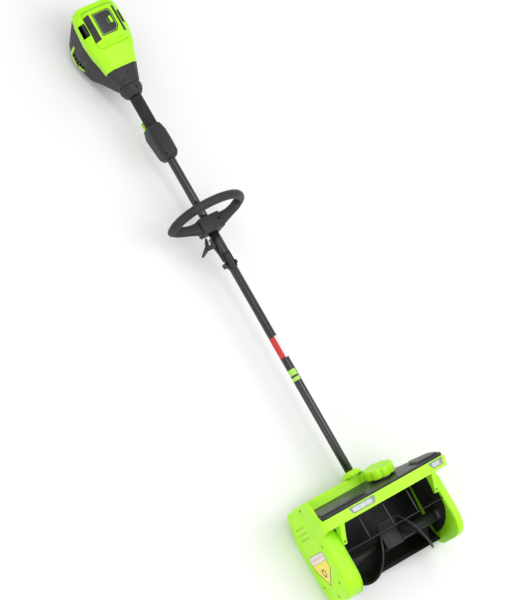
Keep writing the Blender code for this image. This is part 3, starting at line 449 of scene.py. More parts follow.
def screw(name, at, outward, body, radius=0.0036, depth=0.0016, finish="dark_steel"):
    """Pan-head screw with a cross recess; its head's top stands at a point, facing outward."""
    turn = Vector(outward).to_track_quat("Z", "Y").to_matrix().to_4x4()
    place = Matrix.Translation(at) @ turn
    rim = radius * 0.35
    profile = [(0.0, -depth), (radius, -depth), (radius, -rim * 0.9), (radius - rim * 0.4, -rim * 0.25),
               (radius - rim, 0.0), (0.0, 0.0)]
    head = turned_mesh(profile, Matrix.Identity(4), 24)
    long, thin = radius * 1.15, radius * 0.22
    cross = [("cut", box_mesh((-a / 2, -b / 2, -depth * 0.6), (a / 2, b / 2, 0.001)))
             for a, b in ((long, thin), (thin, long))]
    mesh = solid(head, *cross)
    mesh.transform(place)
    return piece(name, mesh, finish, body)


# ---- side plates and drive housing ------------------------------------------------------------------
HOUSING_LOW, HOUSING_HIGH = span("drive_cover")
PLATE_LOW, PLATE_HIGH = span("right_side_plate")
RIGHT_OUTER = span("right_side_cover")[1].x
PLATE_FRONT = PLATE_HIGH.z
BACK_FLAT = (-0.020, 0.120)      # stretch of the head's back that lies on the floor
WALL = 0.003


def inset_by(corners, inset):
    """Move every side of an outline inwards by the same amount."""
    moved = []
    for i, corner in enumerate(corners):
        here = Vector(corner)
        before = (here - Vector(corners[i - 1])).normalized()
        after = (Vector(corners[(i + 1) % len(corners)]) - here).normalized()
        inward = Vector((before.y + after.y, -before.x - after.x))
        moved.append(tuple(here + inward * inset / (1.0 + before.dot(after))))
    return moved


def plate_outline(inset, upper, radii):
    """Side of the head as (y, z): round toe, the given upper corners, and a flat back."""
    bottom = PLATE_LOW.y
    low, high = BACK_FLAT
    corners = [(bottom, PLATE_FRONT), *upper, (high, floor_z(high)), (low, floor_z(low)),
               (bottom + 0.012, floor_z(low) + 0.010), (bottom, floor_z(low) + 0.040)]
    return rounded(inset_by(corners, inset), [0.070, *radii, 0.030, 0.030, 0.020, 0.020], 8)


def rimmed_mesh(outline, inner, outer, rim, steps=5):
    """Slab across the head whose outer rim is rounded; outline takes an inset."""
    way = 1.0 if outer > inner else -1.0
    levels = [(inner, 0.0)]
    for i in range(steps + 1):
        turn = pi / 2 * i / steps
        levels.append((outer - way * rim * (1.0 - sin(turn)), rim * (1.0 - cos(turn))))
    return loft_mesh([[(x, y, z) for y, z in outline(inset)] for x, inset in levels])


def housing_outline(inset):
    top = HOUSING_HIGH.y
    return plate_outline(inset, [(0.1385, PLATE_FRONT), (0.157, 0.0350), (top, 0.0345), (top, -0.050)],
                         [0.020, 0.012, 0.013, 0.028])


def side_outline(inset):
    top = PLATE_HIGH.y
    return plate_outline(inset, [(0.088, PLATE_FRONT), (top, 0.060), (top, -0.050)], [0.022, 0.012, 0.028])


def wall_outline(inset):
    """Forward part of the housing's outer face, which closes the deck's left end; it overlaps the housing."""
    top, front = HOUSING_HIGH.y, HOUSING_HIGH.z
    corners = [(0.098, 0.082), (0.098, PLATE_FRONT), (0.104, front), (0.1345, front), (0.150, 0.136),
               (0.182, 0.132), (0.198, 0.122), (top, 0.105), (top, 0.020), (0.150, 0.020), (0.130, 0.082)]
    return rounded(inset_by(corners, inset), [0.001, 0.005, 0.006, 0.006, 0.012, 0.012, 0.010, 0.012, 0.001,
                                              0.001, 0.001], 5)


COVER_SCREWS = ((0.192, 0.062), (0.078, 0.074), (-0.023, -0.060), (-0.030, 0.056), (-0.062, 0.002))
VENT_LEVELS = (0.118, 0.134, 0.150)
VENT_RUN = (-0.0345, 0.0310)
WALL_INNER = -0.2071           # inner face of the forward wall
SEAM = -0.1880                 # step between the housing's outer shell and its base


def drive_housing():
    outer, inner = HOUSING_LOW.x, HOUSING_HIGH.x
    cover = rimmed_mesh(housing_outline, SEAM, outer, 0.0100, 8)
    base = rimmed_mesh(lambda inset: housing_outline(inset + 0.0009), inner, SEAM - 0.0004, 0.0004, 1)
    forward = rimmed_mesh(wall_outline, WALL_INNER, outer + 0.0002, 0.0030)
    pocket = outline_mesh([housing_outline(WALL + 0.006)], outer + WALL, SEAM - 0.001)
    hollow = outline_mesh([housing_outline(WALL + 0.001)], SEAM - 0.006, inner + 0.010)
    vents = [box_mesh((outer - 0.01, level - 0.0035, VENT_RUN[0]),
                      (outer + 0.01, level + 0.0035, VENT_RUN[1])) for level in VENT_LEVELS]
    holes = [cone_mesh((outer - 0.01, y, z), (outer + 0.0026, y, z), 0.0048, sides=32)
             for y, z in COVER_SCREWS]
    shallow = rimmed_mesh(lambda inset: rounded(STICKER, 0.004, 3), outer - 0.001, outer + 0.0006, 0.0001, 1)
    mesh = solid(cover, ("join", base), ("join", forward), ("cut", pocket), ("cut", hollow),
                 ("cut", joined(*vents)), ("cut", joined(*holes)), ("cut", shallow), ("bevel", 0.0005, 2, 40))
    piece("drive_cover_shell", mesh, "lime", "head", "drive_cover")
    ribs = []
    for level in VENT_LEVELS:
        count = 12
        for i in range(count):
            z = VENT_RUN[0] + (VENT_RUN[1] - VENT_RUN[0]) * (i + 0.5) / count
            ribs.append(box_mesh((outer + 0.0009, level - 0.0037, z - 0.0016),
                                 (outer + 0.0028, level + 0.0037, z + 0.0016)))
    piece("drive_cover_vent_ribs", joined(*ribs), "lime", "head")
    for i, (y, z) in enumerate(COVER_SCREWS):
        screw(f"drive_cover_screw_{i + 1}", (outer + 0.0012, y, z), (-1, 0, 0), "head")
    sticker(outer)
    dress("steel", "auger_shaft", "auger_bearing_left", "auger_bearing_right", "rotor_bell", "small_pulley")
    dress("copper", "motor_stator")
    dress("belt", "drive_belt")
    dress("dark", "large_pulley")
    inner_plate("drive_side_plate", "drive_plate", -1)


# Corners of the sticker on the housing, as (y, z)
STICKER = [(0.070, -0.057), (0.068, 0.055), (0.019, 0.056), (-0.028, -0.010), (0.032, -0.059)]


def sticker(outer):
    """Five-sided two-colour sticker with a plain ring for a picture and no lettering."""
    centre = (sum(y for y, z in STICKER) / 5 + 0.010, sum(z for y, z in STICKER) / 5)

    def shrunk(share, low=-1.0, high=1.0):
        points = [(centre[0] + (y - centre[0]) * share, centre[1] + (z - centre[1]) * share)
                  for y, z in STICKER]
        return [(min(max(y, low), high), z) for y, z in points]
    edge = outer + 0.0006
    piece("side_sticker_edge", outline_mesh([rounded(shrunk(0.995), 0.004, 3)], edge - 0.0003, edge - 0.0001),
          "brown_label", "head")
    split = 0.044
    piece("side_sticker_band", outline_mesh([rounded(shrunk(0.93, low=split), 0.001, 2)],
                                            edge - 0.0005, edge - 0.0002), "white_label", "head")
    piece("side_sticker_stripe", outline_mesh([[(split + 0.008, -0.045), (split + 0.017, -0.045),
                                                (split + 0.017, 0.044), (split + 0.008, 0.044)]],
                                              edge - 0.0006, edge - 0.0004), "pink_label", "head")
    piece("side_sticker_field", outline_mesh([rounded(shrunk(0.93, high=split - 0.001), 0.001, 2)],
                                             edge - 0.0005, edge - 0.0002), "yellow_label", "head")
    middle = (0.012, -0.006)
    ring = [arc(middle, 0.0130, 0, 345, 23), arc(middle, 0.0075, 0, 345, 23)]
    piece("side_sticker_ring", outline_mesh(ring, edge - 0.0007, edge - 0.0004), "brown_label", "head")


def right_side():
    near = PLATE_HIGH.x + 0.0003
    cover = rimmed_mesh(side_outline, near, RIGHT_OUTER, 0.008)
    pocket = outline_mesh([side_outline(WALL)], near - 0.010, RIGHT_OUTER - WALL)
    spots = ((0.128, 0.042), (0.066, 0.074), (-0.050, 0.058), (-0.060, -0.030), (0.100, -0.062))
    holes = [cone_mesh((RIGHT_OUTER - 0.0026, y, z), (RIGHT_OUTER + 0.01, y, z), 0.0048, sides=32)
             for y, z in spots]
    mesh = solid(cover, ("cut", pocket), ("cut", joined(*holes)), ("bevel", 0.0006, 2, 40))
    piece("right_cover_shell", mesh, "lime", "head", "right_side_cover")
    for i, (y, z) in enumerate(spots):
        screw(f"right_cover_screw_{i + 1}", (RIGHT_OUTER - 0.0012, y, z), (1, 0, 0), "head")
    inner_plate("right_side_plate", "right_plate", 1)


# Black liner on the inner face of each side plate, as (y, z)
LINER = [(0.1465, 0.0590), (0.1475, -0.0515), (-0.046, -0.060), (-0.046, -0.030), (-0.036, 0.016),
         (-0.022, 0.045), (-0.004, 0.068), (0.010, 0.079), (0.0880, 0.0915)]
LINER_DEPTH = 0.0005


def inner_plate(node, name, side):
    """Plate beside the auger, with its liner let into the face towards the auger."""
    low, high = span(node)
    near, far = (low.x, high.x) if side > 0 else (high.x, low.x)
    start, end = sorted((near - side * 0.010, far + side * 0.010))
    bore = cone_mesh((start, 0, 0), (end, 0, 0), 0.0163, sides=48)
    outline = rounded(LINER, 0.006, 4)
    recess = outline_mesh([outline], *sorted((near - side * 0.010, near + side * LINER_DEPTH)))
    plate = outline_mesh([side_outline(0.0)], low.x, high.x)
    # The plate takes the darker copy of the lime plastic: painted shade.
    piece(f"{name}_smooth", solid(plate, ("cut", bore), ("cut", recess), ("bevel", 0.0003, 2, 40)),
          "lime_inside_painted_shade", "head", node)
    lining = outline_mesh([inset_by(outline, 0.0002)], *sorted((near, near + side * LINER_DEPTH)))
    hole = cone_mesh((start, 0, 0), (end, 0, 0), 0.0166, sides=48)
    piece(f"{name}_liner", solid(lining, ("cut", hole)), "chamber", "head")


# ---- deck -------------------------------------------------------------------------------------------
TURN = TO_SHOVEL.to_3x3()
DECK_NORMAL = (TURN @ Vector(JOINTS["knob_turn"]["axis"])).normalized()
DECK_BACK = DECK_NORMAL.cross(Vector((1.0, 0.0, 0.0)))
KNOB_CENTRE = TO_SHOVEL @ Vector(JOINTS["knob_turn"]["pos_m"])
BAR_FRONT = span("headlight_lens_left")[1].z + 0.0005
BAR_DEPTH = 0.022
DECK_LEFT = span("deck_frame")[0].x
BAR_LOW_AT_FRONT = 0.104
BAR_HIGH = KNOB_CENTRE.y - (BAR_FRONT - KNOB_CENTRE.z) * DECK_BACK.y / -DECK_BACK.z
DECK_SKIN = 0.004
COVER_THICKNESS = 0.007
KNOB_BOSS = 0.005                # raised ring on the cover that the knob turns on
CLEAR = span("back_wall")[1].x
BEAM_TOP = 0.207
DECK_LENGTH = (BAR_FRONT - 0.022) / -DECK_BACK.z
LIGHTS = {"left": (-0.124, -0.034), "right": (0.150, 0.200)}


def deck_matrix(height=0.0):
    """Lays an outline of (x, distance behind the bar's front) on the deck's slope."""
    base = Vector((0.0, BAR_HIGH, BAR_FRONT)) + DECK_NORMAL * height
    return Matrix(((1, DECK_BACK.x, DECK_NORMAL.x, base.x), (0, DECK_BACK.y, DECK_NORMAL.y, base.y),
                   (0, DECK_BACK.z, DECK_NORMAL.z, base.z), (0, 0, 0, 1)))


def deck_outline(edge, round_by=0.0):
    """Plan of the deck (x, distance back); the right rear is cut away diagonally, and edge pulls sides in."""
    left, side, back = DECK_LEFT + edge, -CLEAR + edge, DECK_LENGTH - edge
    corners = [(left, edge), (0.209 - edge, edge), (0.2065 - edge, 0.050 - edge),
               (0.201 - edge, 0.064 - edge), (0.112 - edge, 0.093 - edge), (0.088 - edge, 0.108 - edge),
               (0.077 - edge, back), (side, back), (side, 0.1165 - edge), (left, 0.1165 - edge)]
    soft = 0.002 + round_by
    return rounded(corners, [soft, 0.016, 0.008, 0.006, 0.010, 0.008, 0.002, 0.002, 0.002, 0.001], 6)


def light_outline(low, high, inset):
    """Headlight seen from the front, wider at the top than at the bottom."""
    top, bottom, slant = BAR_HIGH - 0.003 - inset, BAR_LOW_AT_FRONT + 0.008 + inset, 0.008
    corners = [(low + inset, top), (high - inset, top), (high - inset - slant, bottom),
               (low + inset + slant, bottom)]
    return rounded(corners, 0.0025, 4)


def bracket(side):
    """Gusset between a side plate and the front bar; it widens upwards on a hollow curve."""
    rings = []
    steps = 8
    for i in range(steps + 1):
        t = i / steps
        grow = t ** 1.8
        y = 0.052 + 0.058 * t
        width = 0.012 + 0.0037 * grow
        front = 0.096 + 0.051 * t ** 1.1
        back = 0.084 + 0.016 * t
        near, far = side * CLEAR, side * (CLEAR - width)
        rings.append([(near, y, back), (far, y, back), (far, y, front), (near, y, front)])
    return loft_mesh(rings)


def deck():
    bar = outline_mesh([rounded([(DECK_LEFT, BAR_HIGH), (DECK_LEFT, BAR_LOW_AT_FRONT),
                                 (0.2010, BAR_LOW_AT_FRONT), (0.2090, BAR_HIGH)],
                                [0.001, 0.001, 0.004, 0.004], 4)],
                       BAR_FRONT - BAR_DEPTH, BAR_FRONT, FACING)
    beam = [(0.1605, -0.045), (0.1605, 0.027), (0.169, 0.027), (0.177, 0.019), (0.200, 0.017),
            (BEAM_TOP, 0.008), (BEAM_TOP, -0.030), (0.196, -0.045)]
    beam = rounded(beam, [0.001, 0.001, 0.001, 0.004, 0.006, 0.004, 0.006, 0.006], 4)
    apron = [(0.1540, -0.045), (0.1470, 0.092), (0.1512, 0.092), (0.1580, -0.045)]
    skirt_plan = [(0.074, 0.0915), (0.1640, 0.0915), (0.1640, 0.0800), (0.1115, 0.0620), (0.0875, 0.0475),
                  (0.0765, 0.0235), (0.074, 0.0235)]
    skirt_plan = rounded(skirt_plan, [0.0, 0.0, 0.001, 0.010, 0.008, 0.001, 0.0], 4)
    fall = DECK_BACK.y / -DECK_BACK.z
    skirt = loft_mesh([[(x, 0.1500, z) for x, z in skirt_plan],
                       [(x, BAR_HIGH + (BAR_FRONT - z) * fall - 0.0010, z) for x, z in skirt_plan]])
    spindle = (KNOB_CENTRE - DECK_NORMAL * 0.03, KNOB_CENTRE + DECK_NORMAL * 0.03)
    steps = [("join", outline_mesh([deck_outline(0.0)], -DECK_SKIN, 0.0, deck_matrix())),
             ("join", outline_mesh([beam], -CLEAR, 0.075)),
             ("join", outline_mesh([apron], 0.070, CLEAR)), ("join", skirt),
             ("join", box_mesh((0.070, 0.1530, -0.0449), (0.0749, 0.1700, 0.0260))),
             ("join", bracket(-1)), ("join", bracket(1)),
             ("cut", cone_mesh((0, 0.10, 0), (0, 0.30, 0), 0.0203)),
             ("cut", cone_mesh(*spindle, 0.0083))]
    for low, high in LIGHTS.values():
        steps.append(("cut", outline_mesh([light_outline(low, high, 0.0)], 0.137, 0.160, FACING)))
    for side in (-1, 1):
        x, y, z = side * (CLEAR - 0.006), 0.0595, 0.1040
        steps.append(("cut", cone_mesh((x, y, z - 0.004), (x, y, z + 0.02), 0.0036, sides=24)))
    steps.append(("bevel", 0.0014, 3, 32))
    piece("deck_moulding", solid(bar, *steps), "lime", "head", "deck_frame", sharp=50)
    for side, name in ((-1, "left"), (1, "right")):
        screw(f"bracket_screw_{name}", (side * (CLEAR - 0.006), 0.0595, 0.1006), (0, 0, 1), "head", 0.0030)


def mound_mesh(outline, low, high, slope, matrix, steps=6):
    """Raised area with rounded shoulders, on an outline that shrinks towards its middle as it rises."""
    middle = Vector((sum(p[0] for p in outline) / len(outline), sum(p[1] for p in outline) / len(outline)))
    rings = []
    for i in range(steps + 1):
        turn = pi / 2 * i / steps
        inset = slope * (1.0 - cos(turn))
        height = low + (high - low) * sin(turn)
        ring = []
        for point in outline:
            run = Vector(point) - middle
            shorter = run * max(0.0, 1.0 - inset / run.length)
            ring.append(matrix @ Vector((middle.x + shorter.x, middle.y + shorter.y, height)))
        rings.append(ring)
    return loft_mesh(rings)


def top_cover():
    """Black cover on the deck: a flat field between two raised brows over the headlights."""
    base = outline_mesh([deck_outline(0.001, 0.010)], 0.0003, COVER_THICKNESS, deck_matrix())
    behind = box_mesh((-0.20, 0.100, -0.060), (0.076, 0.260, 0.0295))
    spindle = cone_mesh(KNOB_CENTRE - DECK_NORMAL * 0.03, KNOB_CENTRE + DECK_NORMAL * 0.03, 0.0083)
    brows = (rounded([(-0.2035, 0.006), (-0.040, 0.006), (-0.064, 0.052), (-0.090, 0.080), (-0.150, 0.092),
                      (-0.2035, 0.092)], 0.012, 5),
             rounded([(0.128, 0.006), (0.203, 0.006), (0.2010, 0.048), (0.190, 0.059), (0.130, 0.080),
                      (0.118, 0.052)], 0.010, 5))
    steps = [("bevel", 0.0026, 4, 60)]
    mesh = solid(base, ("cut", behind), *steps)
    raised = [("join", mound_mesh(brow, 0.002, COVER_THICKNESS + 0.0055, 0.013, deck_matrix()))
              for brow in brows]
    groove = rounded([(-0.150, 0.085), (0.000, 0.085), (0.000, 0.089), (-0.150, 0.089)], 0.0015, 3)
    boss = [(0.0, -0.004), (0.034, -0.004), (0.034, KNOB_BOSS - 0.0012), (0.0328, KNOB_BOSS),
            (0.0, KNOB_BOSS)]
    turn = DECK_NORMAL.to_track_quat("Z", "Y").to_matrix().to_4x4()
    seat = Matrix.Translation(KNOB_CENTRE + DECK_NORMAL * COVER_THICKNESS) @ turn
    raised.append(("join", turned_mesh(boss, seat, 64)))
    cuts = [("cut", spindle), ("cut", outline_mesh([groove], COVER_THICKNESS - 0.0012, 0.02, deck_matrix()))]
    piece("top_cover_sculpted", solid(mesh, *raised, *cuts, ("bevel", 0.0008, 2, 32)), "cover", "head",
          "top_cover", sharp=28)


def headlights():
    for side, (low, high) in LIGHTS.items():
        back, front = 0.1392, BAR_FRONT - 0.0052
        rim = light_outline(low, high, 0.0005)
        rings = [[(x, y, front) for x, y in rim]]
        centre = Vector((sum(x for x, y in rim) / len(rim), sum(y for x, y in rim) / len(rim)))
        for share, z in ((0.97, front), (0.90, back + 0.0012), (0.86, back + 0.0012)):
            rings.append([(centre.x + (x - centre.x) * share, centre.y + (y - centre.y) * share, z)
                          for x, y in rim])
        backing = [[(x, y, back - 0.0004) for x, y in rim]]
        tray = loft_mesh([backing[0], rings[0], rings[1], rings[2], rings[3]])
        piece(f"headlight_tray_{side}", tray, "cover", "head")
        count = 3 if high - low > 0.06 else 2
        seat, run = back + 0.0032, (high - low - 0.026) / count
        cups, leds = [], []
        for i in range(count):
            x = low + 0.013 + run * (i + 0.5)
            cell = rounded([(x - run * 0.47, centre.y - 0.0065), (x + run * 0.47, centre.y - 0.0065),
                            (x + run * 0.47, centre.y + 0.0065), (x - run * 0.47, centre.y + 0.0065)],
                           0.0015, 3)
            cups.append(loft_mesh([[(x + (p - x) * share, centre.y + (q - centre.y) * share, z)
                                    for p, q in cell]
                                   for share, z in ((1.0, back + 0.0014), (1.0, front), (0.94, front),
                                                    (0.42, seat))]))
            dome = [(0.0, 0.0), (0.0024, 0.0), (0.0024, 0.0006), (0.0016, 0.0017), (0.0, 0.0020)]
            leds.append(turned_mesh(dome, Matrix.Translation((x, centre.y, seat)), 20))
        piece(f"headlight_cups_{side}", joined(*cups), "facet", "head")
        piece(f"headlight_leds_{side}", joined(*leds), "led", "head")
        lens = outline_mesh([rim], BAR_FRONT - 0.0022, BAR_FRONT + 0.0002, FACING)
        piece(f"headlight_glass_{side}", solid(lens, ("bevel", 0.0007, 2, 40)), "lens", "head",
              f"headlight_lens_{side}")
    dress("board", "headlight_board_left", "headlight_board_right")


def knob():
    """Fluted direction knob with a pointer, and the spindle, crank and pin below it."""
    radius, height, lobes, count = 0.044, 0.0275, 8, 192
    low = COVER_THICKNESS + KNOB_BOSS + 0.0006
    place = Matrix.Translation(KNOB_CENTRE - deck_matrix().translation) @ deck_matrix()

    def rim(inset):
        points = []
        for i in range(count):
            turn = 2 * pi * i / count
            groove = (0.5 - 0.5 * cos(lobes * turn)) ** 3
            reach = radius - 0.0052 * groove - inset
            points.append((reach * cos(turn), reach * sin(turn)))
        return points
    levels = [(0.0, 0.0012), (0.0010, 0.0002), (0.0020, 0.0)]
    round_by = 0.0042
    for i in range(6):
        turn = pi / 2 * i / 5
        levels.append((height - round_by * (1.0 - sin(turn)), round_by * (1.0 - cos(turn))))
    levels.append((height - 0.0001, round_by + 0.003))
    levels.append((height - 0.0016, round_by + 0.006))
    rings = [[place @ Vector((x, d, low + up)) for x, d in rim(inset)] for up, inset in levels]
    dial = loft_mesh(rings)
    pointer = outline_mesh([rounded([(-0.0028, 0.006), (0.0028, 0.006), (0.0018, -0.030), (-0.0018, -0.030)],
                                    0.0016, 4)], low + height - 0.004, low + height - 0.0002, place)
    stem = cone_mesh(KNOB_CENTRE - DECK_NORMAL * 0.009, KNOB_CENTRE + DECK_NORMAL * (low + 0.004), 0.0075)
    reach = 0.020
    crank = outline_mesh([rounded([(-0.0055, -0.006), (0.0055, -0.006), (0.0045, 0.0235), (-0.0045, 0.0235)],
                                  0.003, 4)], -0.0090, -0.0065, place)
    top = KNOB_CENTRE + DECK_BACK * reach - DECK_NORMAL * 0.0075
    pin = cone_mesh(top, top - DECK_NORMAL * 0.0187, 0.003, sides=24)
    mesh = solid(dial, ("join", pointer), ("join", stem), ("join", crank), ("join", pin))
    piece("direction_knob_fluted", mesh, "lime", "direction_knob", "direction_knob", sharp=40)


# ---- auger chamber ----------------------------------------------------------------------------------
AUGER_RADIUS = 0.078
AUGER_PITCH = 0.196
HUB_RADIUS = 0.017


def flight_mesh(side):
    """Helical blade with a thicker, rounded lip along its outer edge."""
    inner, outer, thick, steps = HUB_RADIUS + 0.0003, AUGER_RADIUS, 0.0036, 120
    far, near = 0.157, 0.0335
    bottom_at = 0.107
    section = [(inner, -thick / 2), (outer - 0.007, -thick / 2), (outer - 0.005, -0.0031),
               (outer - 0.0018, -0.0031), (outer, -0.0016), (outer, 0.0016), (outer - 0.0018, 0.0031),
               (outer - 0.005, 0.0031), (outer - 0.007, thick / 2), (inner, thick / 2)]

    def ring(x):
        turn = 2 * pi * (bottom_at - x) / AUGER_PITCH
        out = Vector((0.0, -cos(turn), sin(turn)))
        return [out * radius + Vector((side * (x + shift), 0.0, 0.0)) for radius, shift in section]
    return loft_mesh([ring(far + (near - far) * i / steps) for i in range(steps + 1)])


def auger():
    piece("auger_blade_left", flight_mesh(-1), "auger", "auger", "auger_flight_left", sharp=40)
    piece("auger_blade_right", flight_mesh(1), "auger", "auger", "auger_flight_right", sharp=40)
    low, high = span("auger_hub")
    hub = turned_mesh([(0.0083, low.x), (HUB_RADIUS, low.x), (HUB_RADIUS, high.x), (0.0083, high.x)],
                      Matrix.Rotation(pi / 2, 4, "Y"), 64)
    piece("auger_hub_smooth", solid(hub, ("bevel", 0.001, 2, 40)), "auger", "auger", "auger_hub")
    refined("centre_paddle", "auger", "auger", 0.0012, 2, 30)


def chamber():
    """Back wall round the auger with a flat tail, the scraper along its lower edge, and the vane rail."""
    inner, outer = 0.0815, 0.0850
    start, end = 228, 285
    low, high = span("back_wall")
    wall = arc((0, 0), inner, start, end, 40)
    wall += [(0.090, -0.066), (0.1555, -0.052), (0.1555, -0.0555), (0.092, -0.0700)]
    wall += arc((0, 0), outer, end, start, 40)
    piece("back_wall_smooth", solid(outline_mesh([wall], low.x, high.x), ("bevel", 0.0008, 2, 40)), "chamber",
          "head", "back_wall")
    refined("scraper_bar", "dark", "head", 0.0008, 2)
    refined("vane_rail", "chamber", "head", 0.0006, 2)


def vanes():
    """Deflector vanes with rounded lower corners and a moulded bead along their front edges."""
    rail_top = span("vane_rail")[1].y
    top = 0.138
    low = rail_top + 0.0008
    clear = AUGER_RADIUS + 0.005
    for side in ("left", "centre", "right"):
        joint = JOINTS[f"vane_{side}_swing"]
        x, _, pivot_z = TO_SHOVEL @ Vector(joint["pos_m"])
        under = arc((0, 0), clear, 90 - 63, 90 - 6, 24)
        corner = arc((low + 0.020, 0.075), 0.020, 90, 180, 10)
        edge = [(top, 0.004), (top, 0.095), *corner]
        edge += [(y, z) for y, z in under if y > low + 0.001]
        sheet = outline_mesh([edge], x - 0.0013, x + 0.0013)
        bead = tube_mesh([(x, top - 0.001, 0.0945), *[(x, y, z - 0.0005) for y, z in corner[:8]]], 0.0021, 4)
        rod = cone_mesh((x, 0.0305, pivot_z), (x, top + 0.006, pivot_z), 0.0021, sides=24)
        peg = cone_mesh((x, 0.121, 0.046), (x, top + 0.008, 0.046), 0.0030, sides=24)
        mesh = solid(sheet, ("join", bead), ("join", rod), ("join", peg), ("bevel", 0.0004, 2, 50))
        piece(f"snow_vane_{side}", mesh, "vane", f"vane_{side}", f"vane_{side}", sharp=40)
    dress("dark", "vane_link")


# ---- pole and fold joint ----------------------------------------------------------------------------
POLE_RADIUS = 0.0127
POLE_BORE = 0.0110
SLEEVE_BORE = 0.0131
FIT = 0.0003                     # clearance of a bore round the pole
FOLD = TO_SHOVEL @ Vector(JOINTS["pole_fold"]["pos_m"])


def tube_profile(bore, outer, half, chamfer):
    """Closed profile of a tube whose outer edges are chamfered."""
    return [(bore, -half), (bore, half), (outer - chamfer, half), (outer, half - chamfer),
            (outer, -half + chamfer), (outer - chamfer, -half)]


def tube_piece(node, name, body, *cuts):
    low, high = span(node)
    profile = tube_profile(POLE_BORE, POLE_RADIUS, (high.y - low.y) / 2, 0.0004)
    mesh = turned_mesh(profile, on_pole((low.y + high.y) / 2), 96)
    piece(name, solid(mesh, *cuts), "tube", body, node, sharp=50)


def wrap(name, low, high, finish, body, radius=POLE_RADIUS, start=0.0, end=360.0):
    """Thin label wound round the pole, all the way or part of the way."""
    if end - start >= 360.0:
        half = (high - low) / 2
        profile = [(radius + 0.00002, -half), (radius + 0.00025, -half), (radius + 0.00025, half),
                   (radius + 0.00002, half)]
        mesh = turned_mesh(profile, on_pole((low + high) / 2), 96)
    else:
        ring = arc((0, 0), radius + 0.0003, start, end, 30) + arc((0, 0), radius + 0.00003, end, start, 30)
        mesh = outline_mesh([ring], low, high, ALONG)
    return piece(name, mesh, finish, body)


def pole():
    lock = span("lock_pin")
    lock_y = (lock[0].y + lock[1].y) / 2
    tube_piece("lower_tube", "lower_pole_smooth", "head",
               ("cut", cone_mesh((-0.02, FOLD.y, 0), (0.02, FOLD.y, 0), 0.0044, sides=32)),
               ("cut", cone_mesh((-0.02, lock_y, 0), (-0.004, lock_y, 0), 0.0036, sides=32)))
    tube_piece("upper_tube", "upper_pole_smooth", "upper_pole")
    low, high = span("pole_socket")
    rim = BEAM_TOP + 0.0003
    dome = [(0.0300 - 0.0142 * (1 - cos(pi / 2 * i / 10)) * 0.75 - 0.0036 * i / 10,
             rim + 0.0035 + (high.y - rim - 0.0035) * sin(pi / 2 * i / 10)) for i in range(11)]
    profile = [(SLEEVE_BORE, low.y), (SLEEVE_BORE, high.y), *reversed(dome), (0.0300, rim), (0.0200, rim),
               (0.0200, low.y)]
    piece("pole_socket_dome", turned_mesh(profile, on_pole(0.0), 96), "lime", "head", "pole_socket", sharp=45)
    wrap("pole_label_red", 0.5930, 0.6570, "red_label", "head", start=95, end=205)
    wrap("pole_label_white", 0.5910, 0.6590, "white_label", "head", start=20, end=92)
    wrap("pole_label_lime", 0.5180, 0.5530, "lime_label", "head", start=60, end=190)
    wrap("pole_label_lime_bar", 0.5290, 0.5350, "panel", "head", radius=POLE_RADIUS + FIT, start=70, end=180)
    dress("cable", "lower_cable", "upper_cable")

    sleeve_low, sleeve_high = span("fold_sleeve")
    profile = tube_profile(SLEEVE_BORE, sleeve_high.x, (sleeve_high.y - sleeve_low.y) / 2, 0.0006)
    sleeve = turned_mesh(profile, on_pole((sleeve_low.y + sleeve_high.y) / 2), 96)
    slot = SLEEVE_BORE - 0.00005
    join_y = span("lower_tube")[1].y
    mesh = solid(sleeve, ("cut", box_mesh((-slot, 0.88, -0.03), (slot, join_y, 0.0))),
                 ("cut", box_mesh((-slot, 0.88, -0.001), (slot, FOLD.y + 0.034, 0.03))),
                 ("cut", cone_mesh((-0.02, FOLD.y, 0), (0.02, FOLD.y, 0), 0.0043, sides=32)),
                 ("cut", cone_mesh((-0.02, lock_y, 0), (-0.004, lock_y, 0), 0.0036, sides=32)))
    piece("fold_sleeve_smooth", mesh, "tube", "upper_pole", "fold_sleeve", sharp=50)
    for node, finish, body, edge in (("latch_bracket", "cover", "upper_pole", 0.0007),
                                     ("latch_lever", "cover", "latch_lever", 0.0009),
                                     ("fold_pin", "dark_steel", "upper_pole", 0.0008),
                                     ("fold_nut", "dark_steel", "upper_pole", 0.0004),
                                     ("lock_pin", "steel", "lock_pin", 0.0004)):
        refined(node, finish, body, edge)


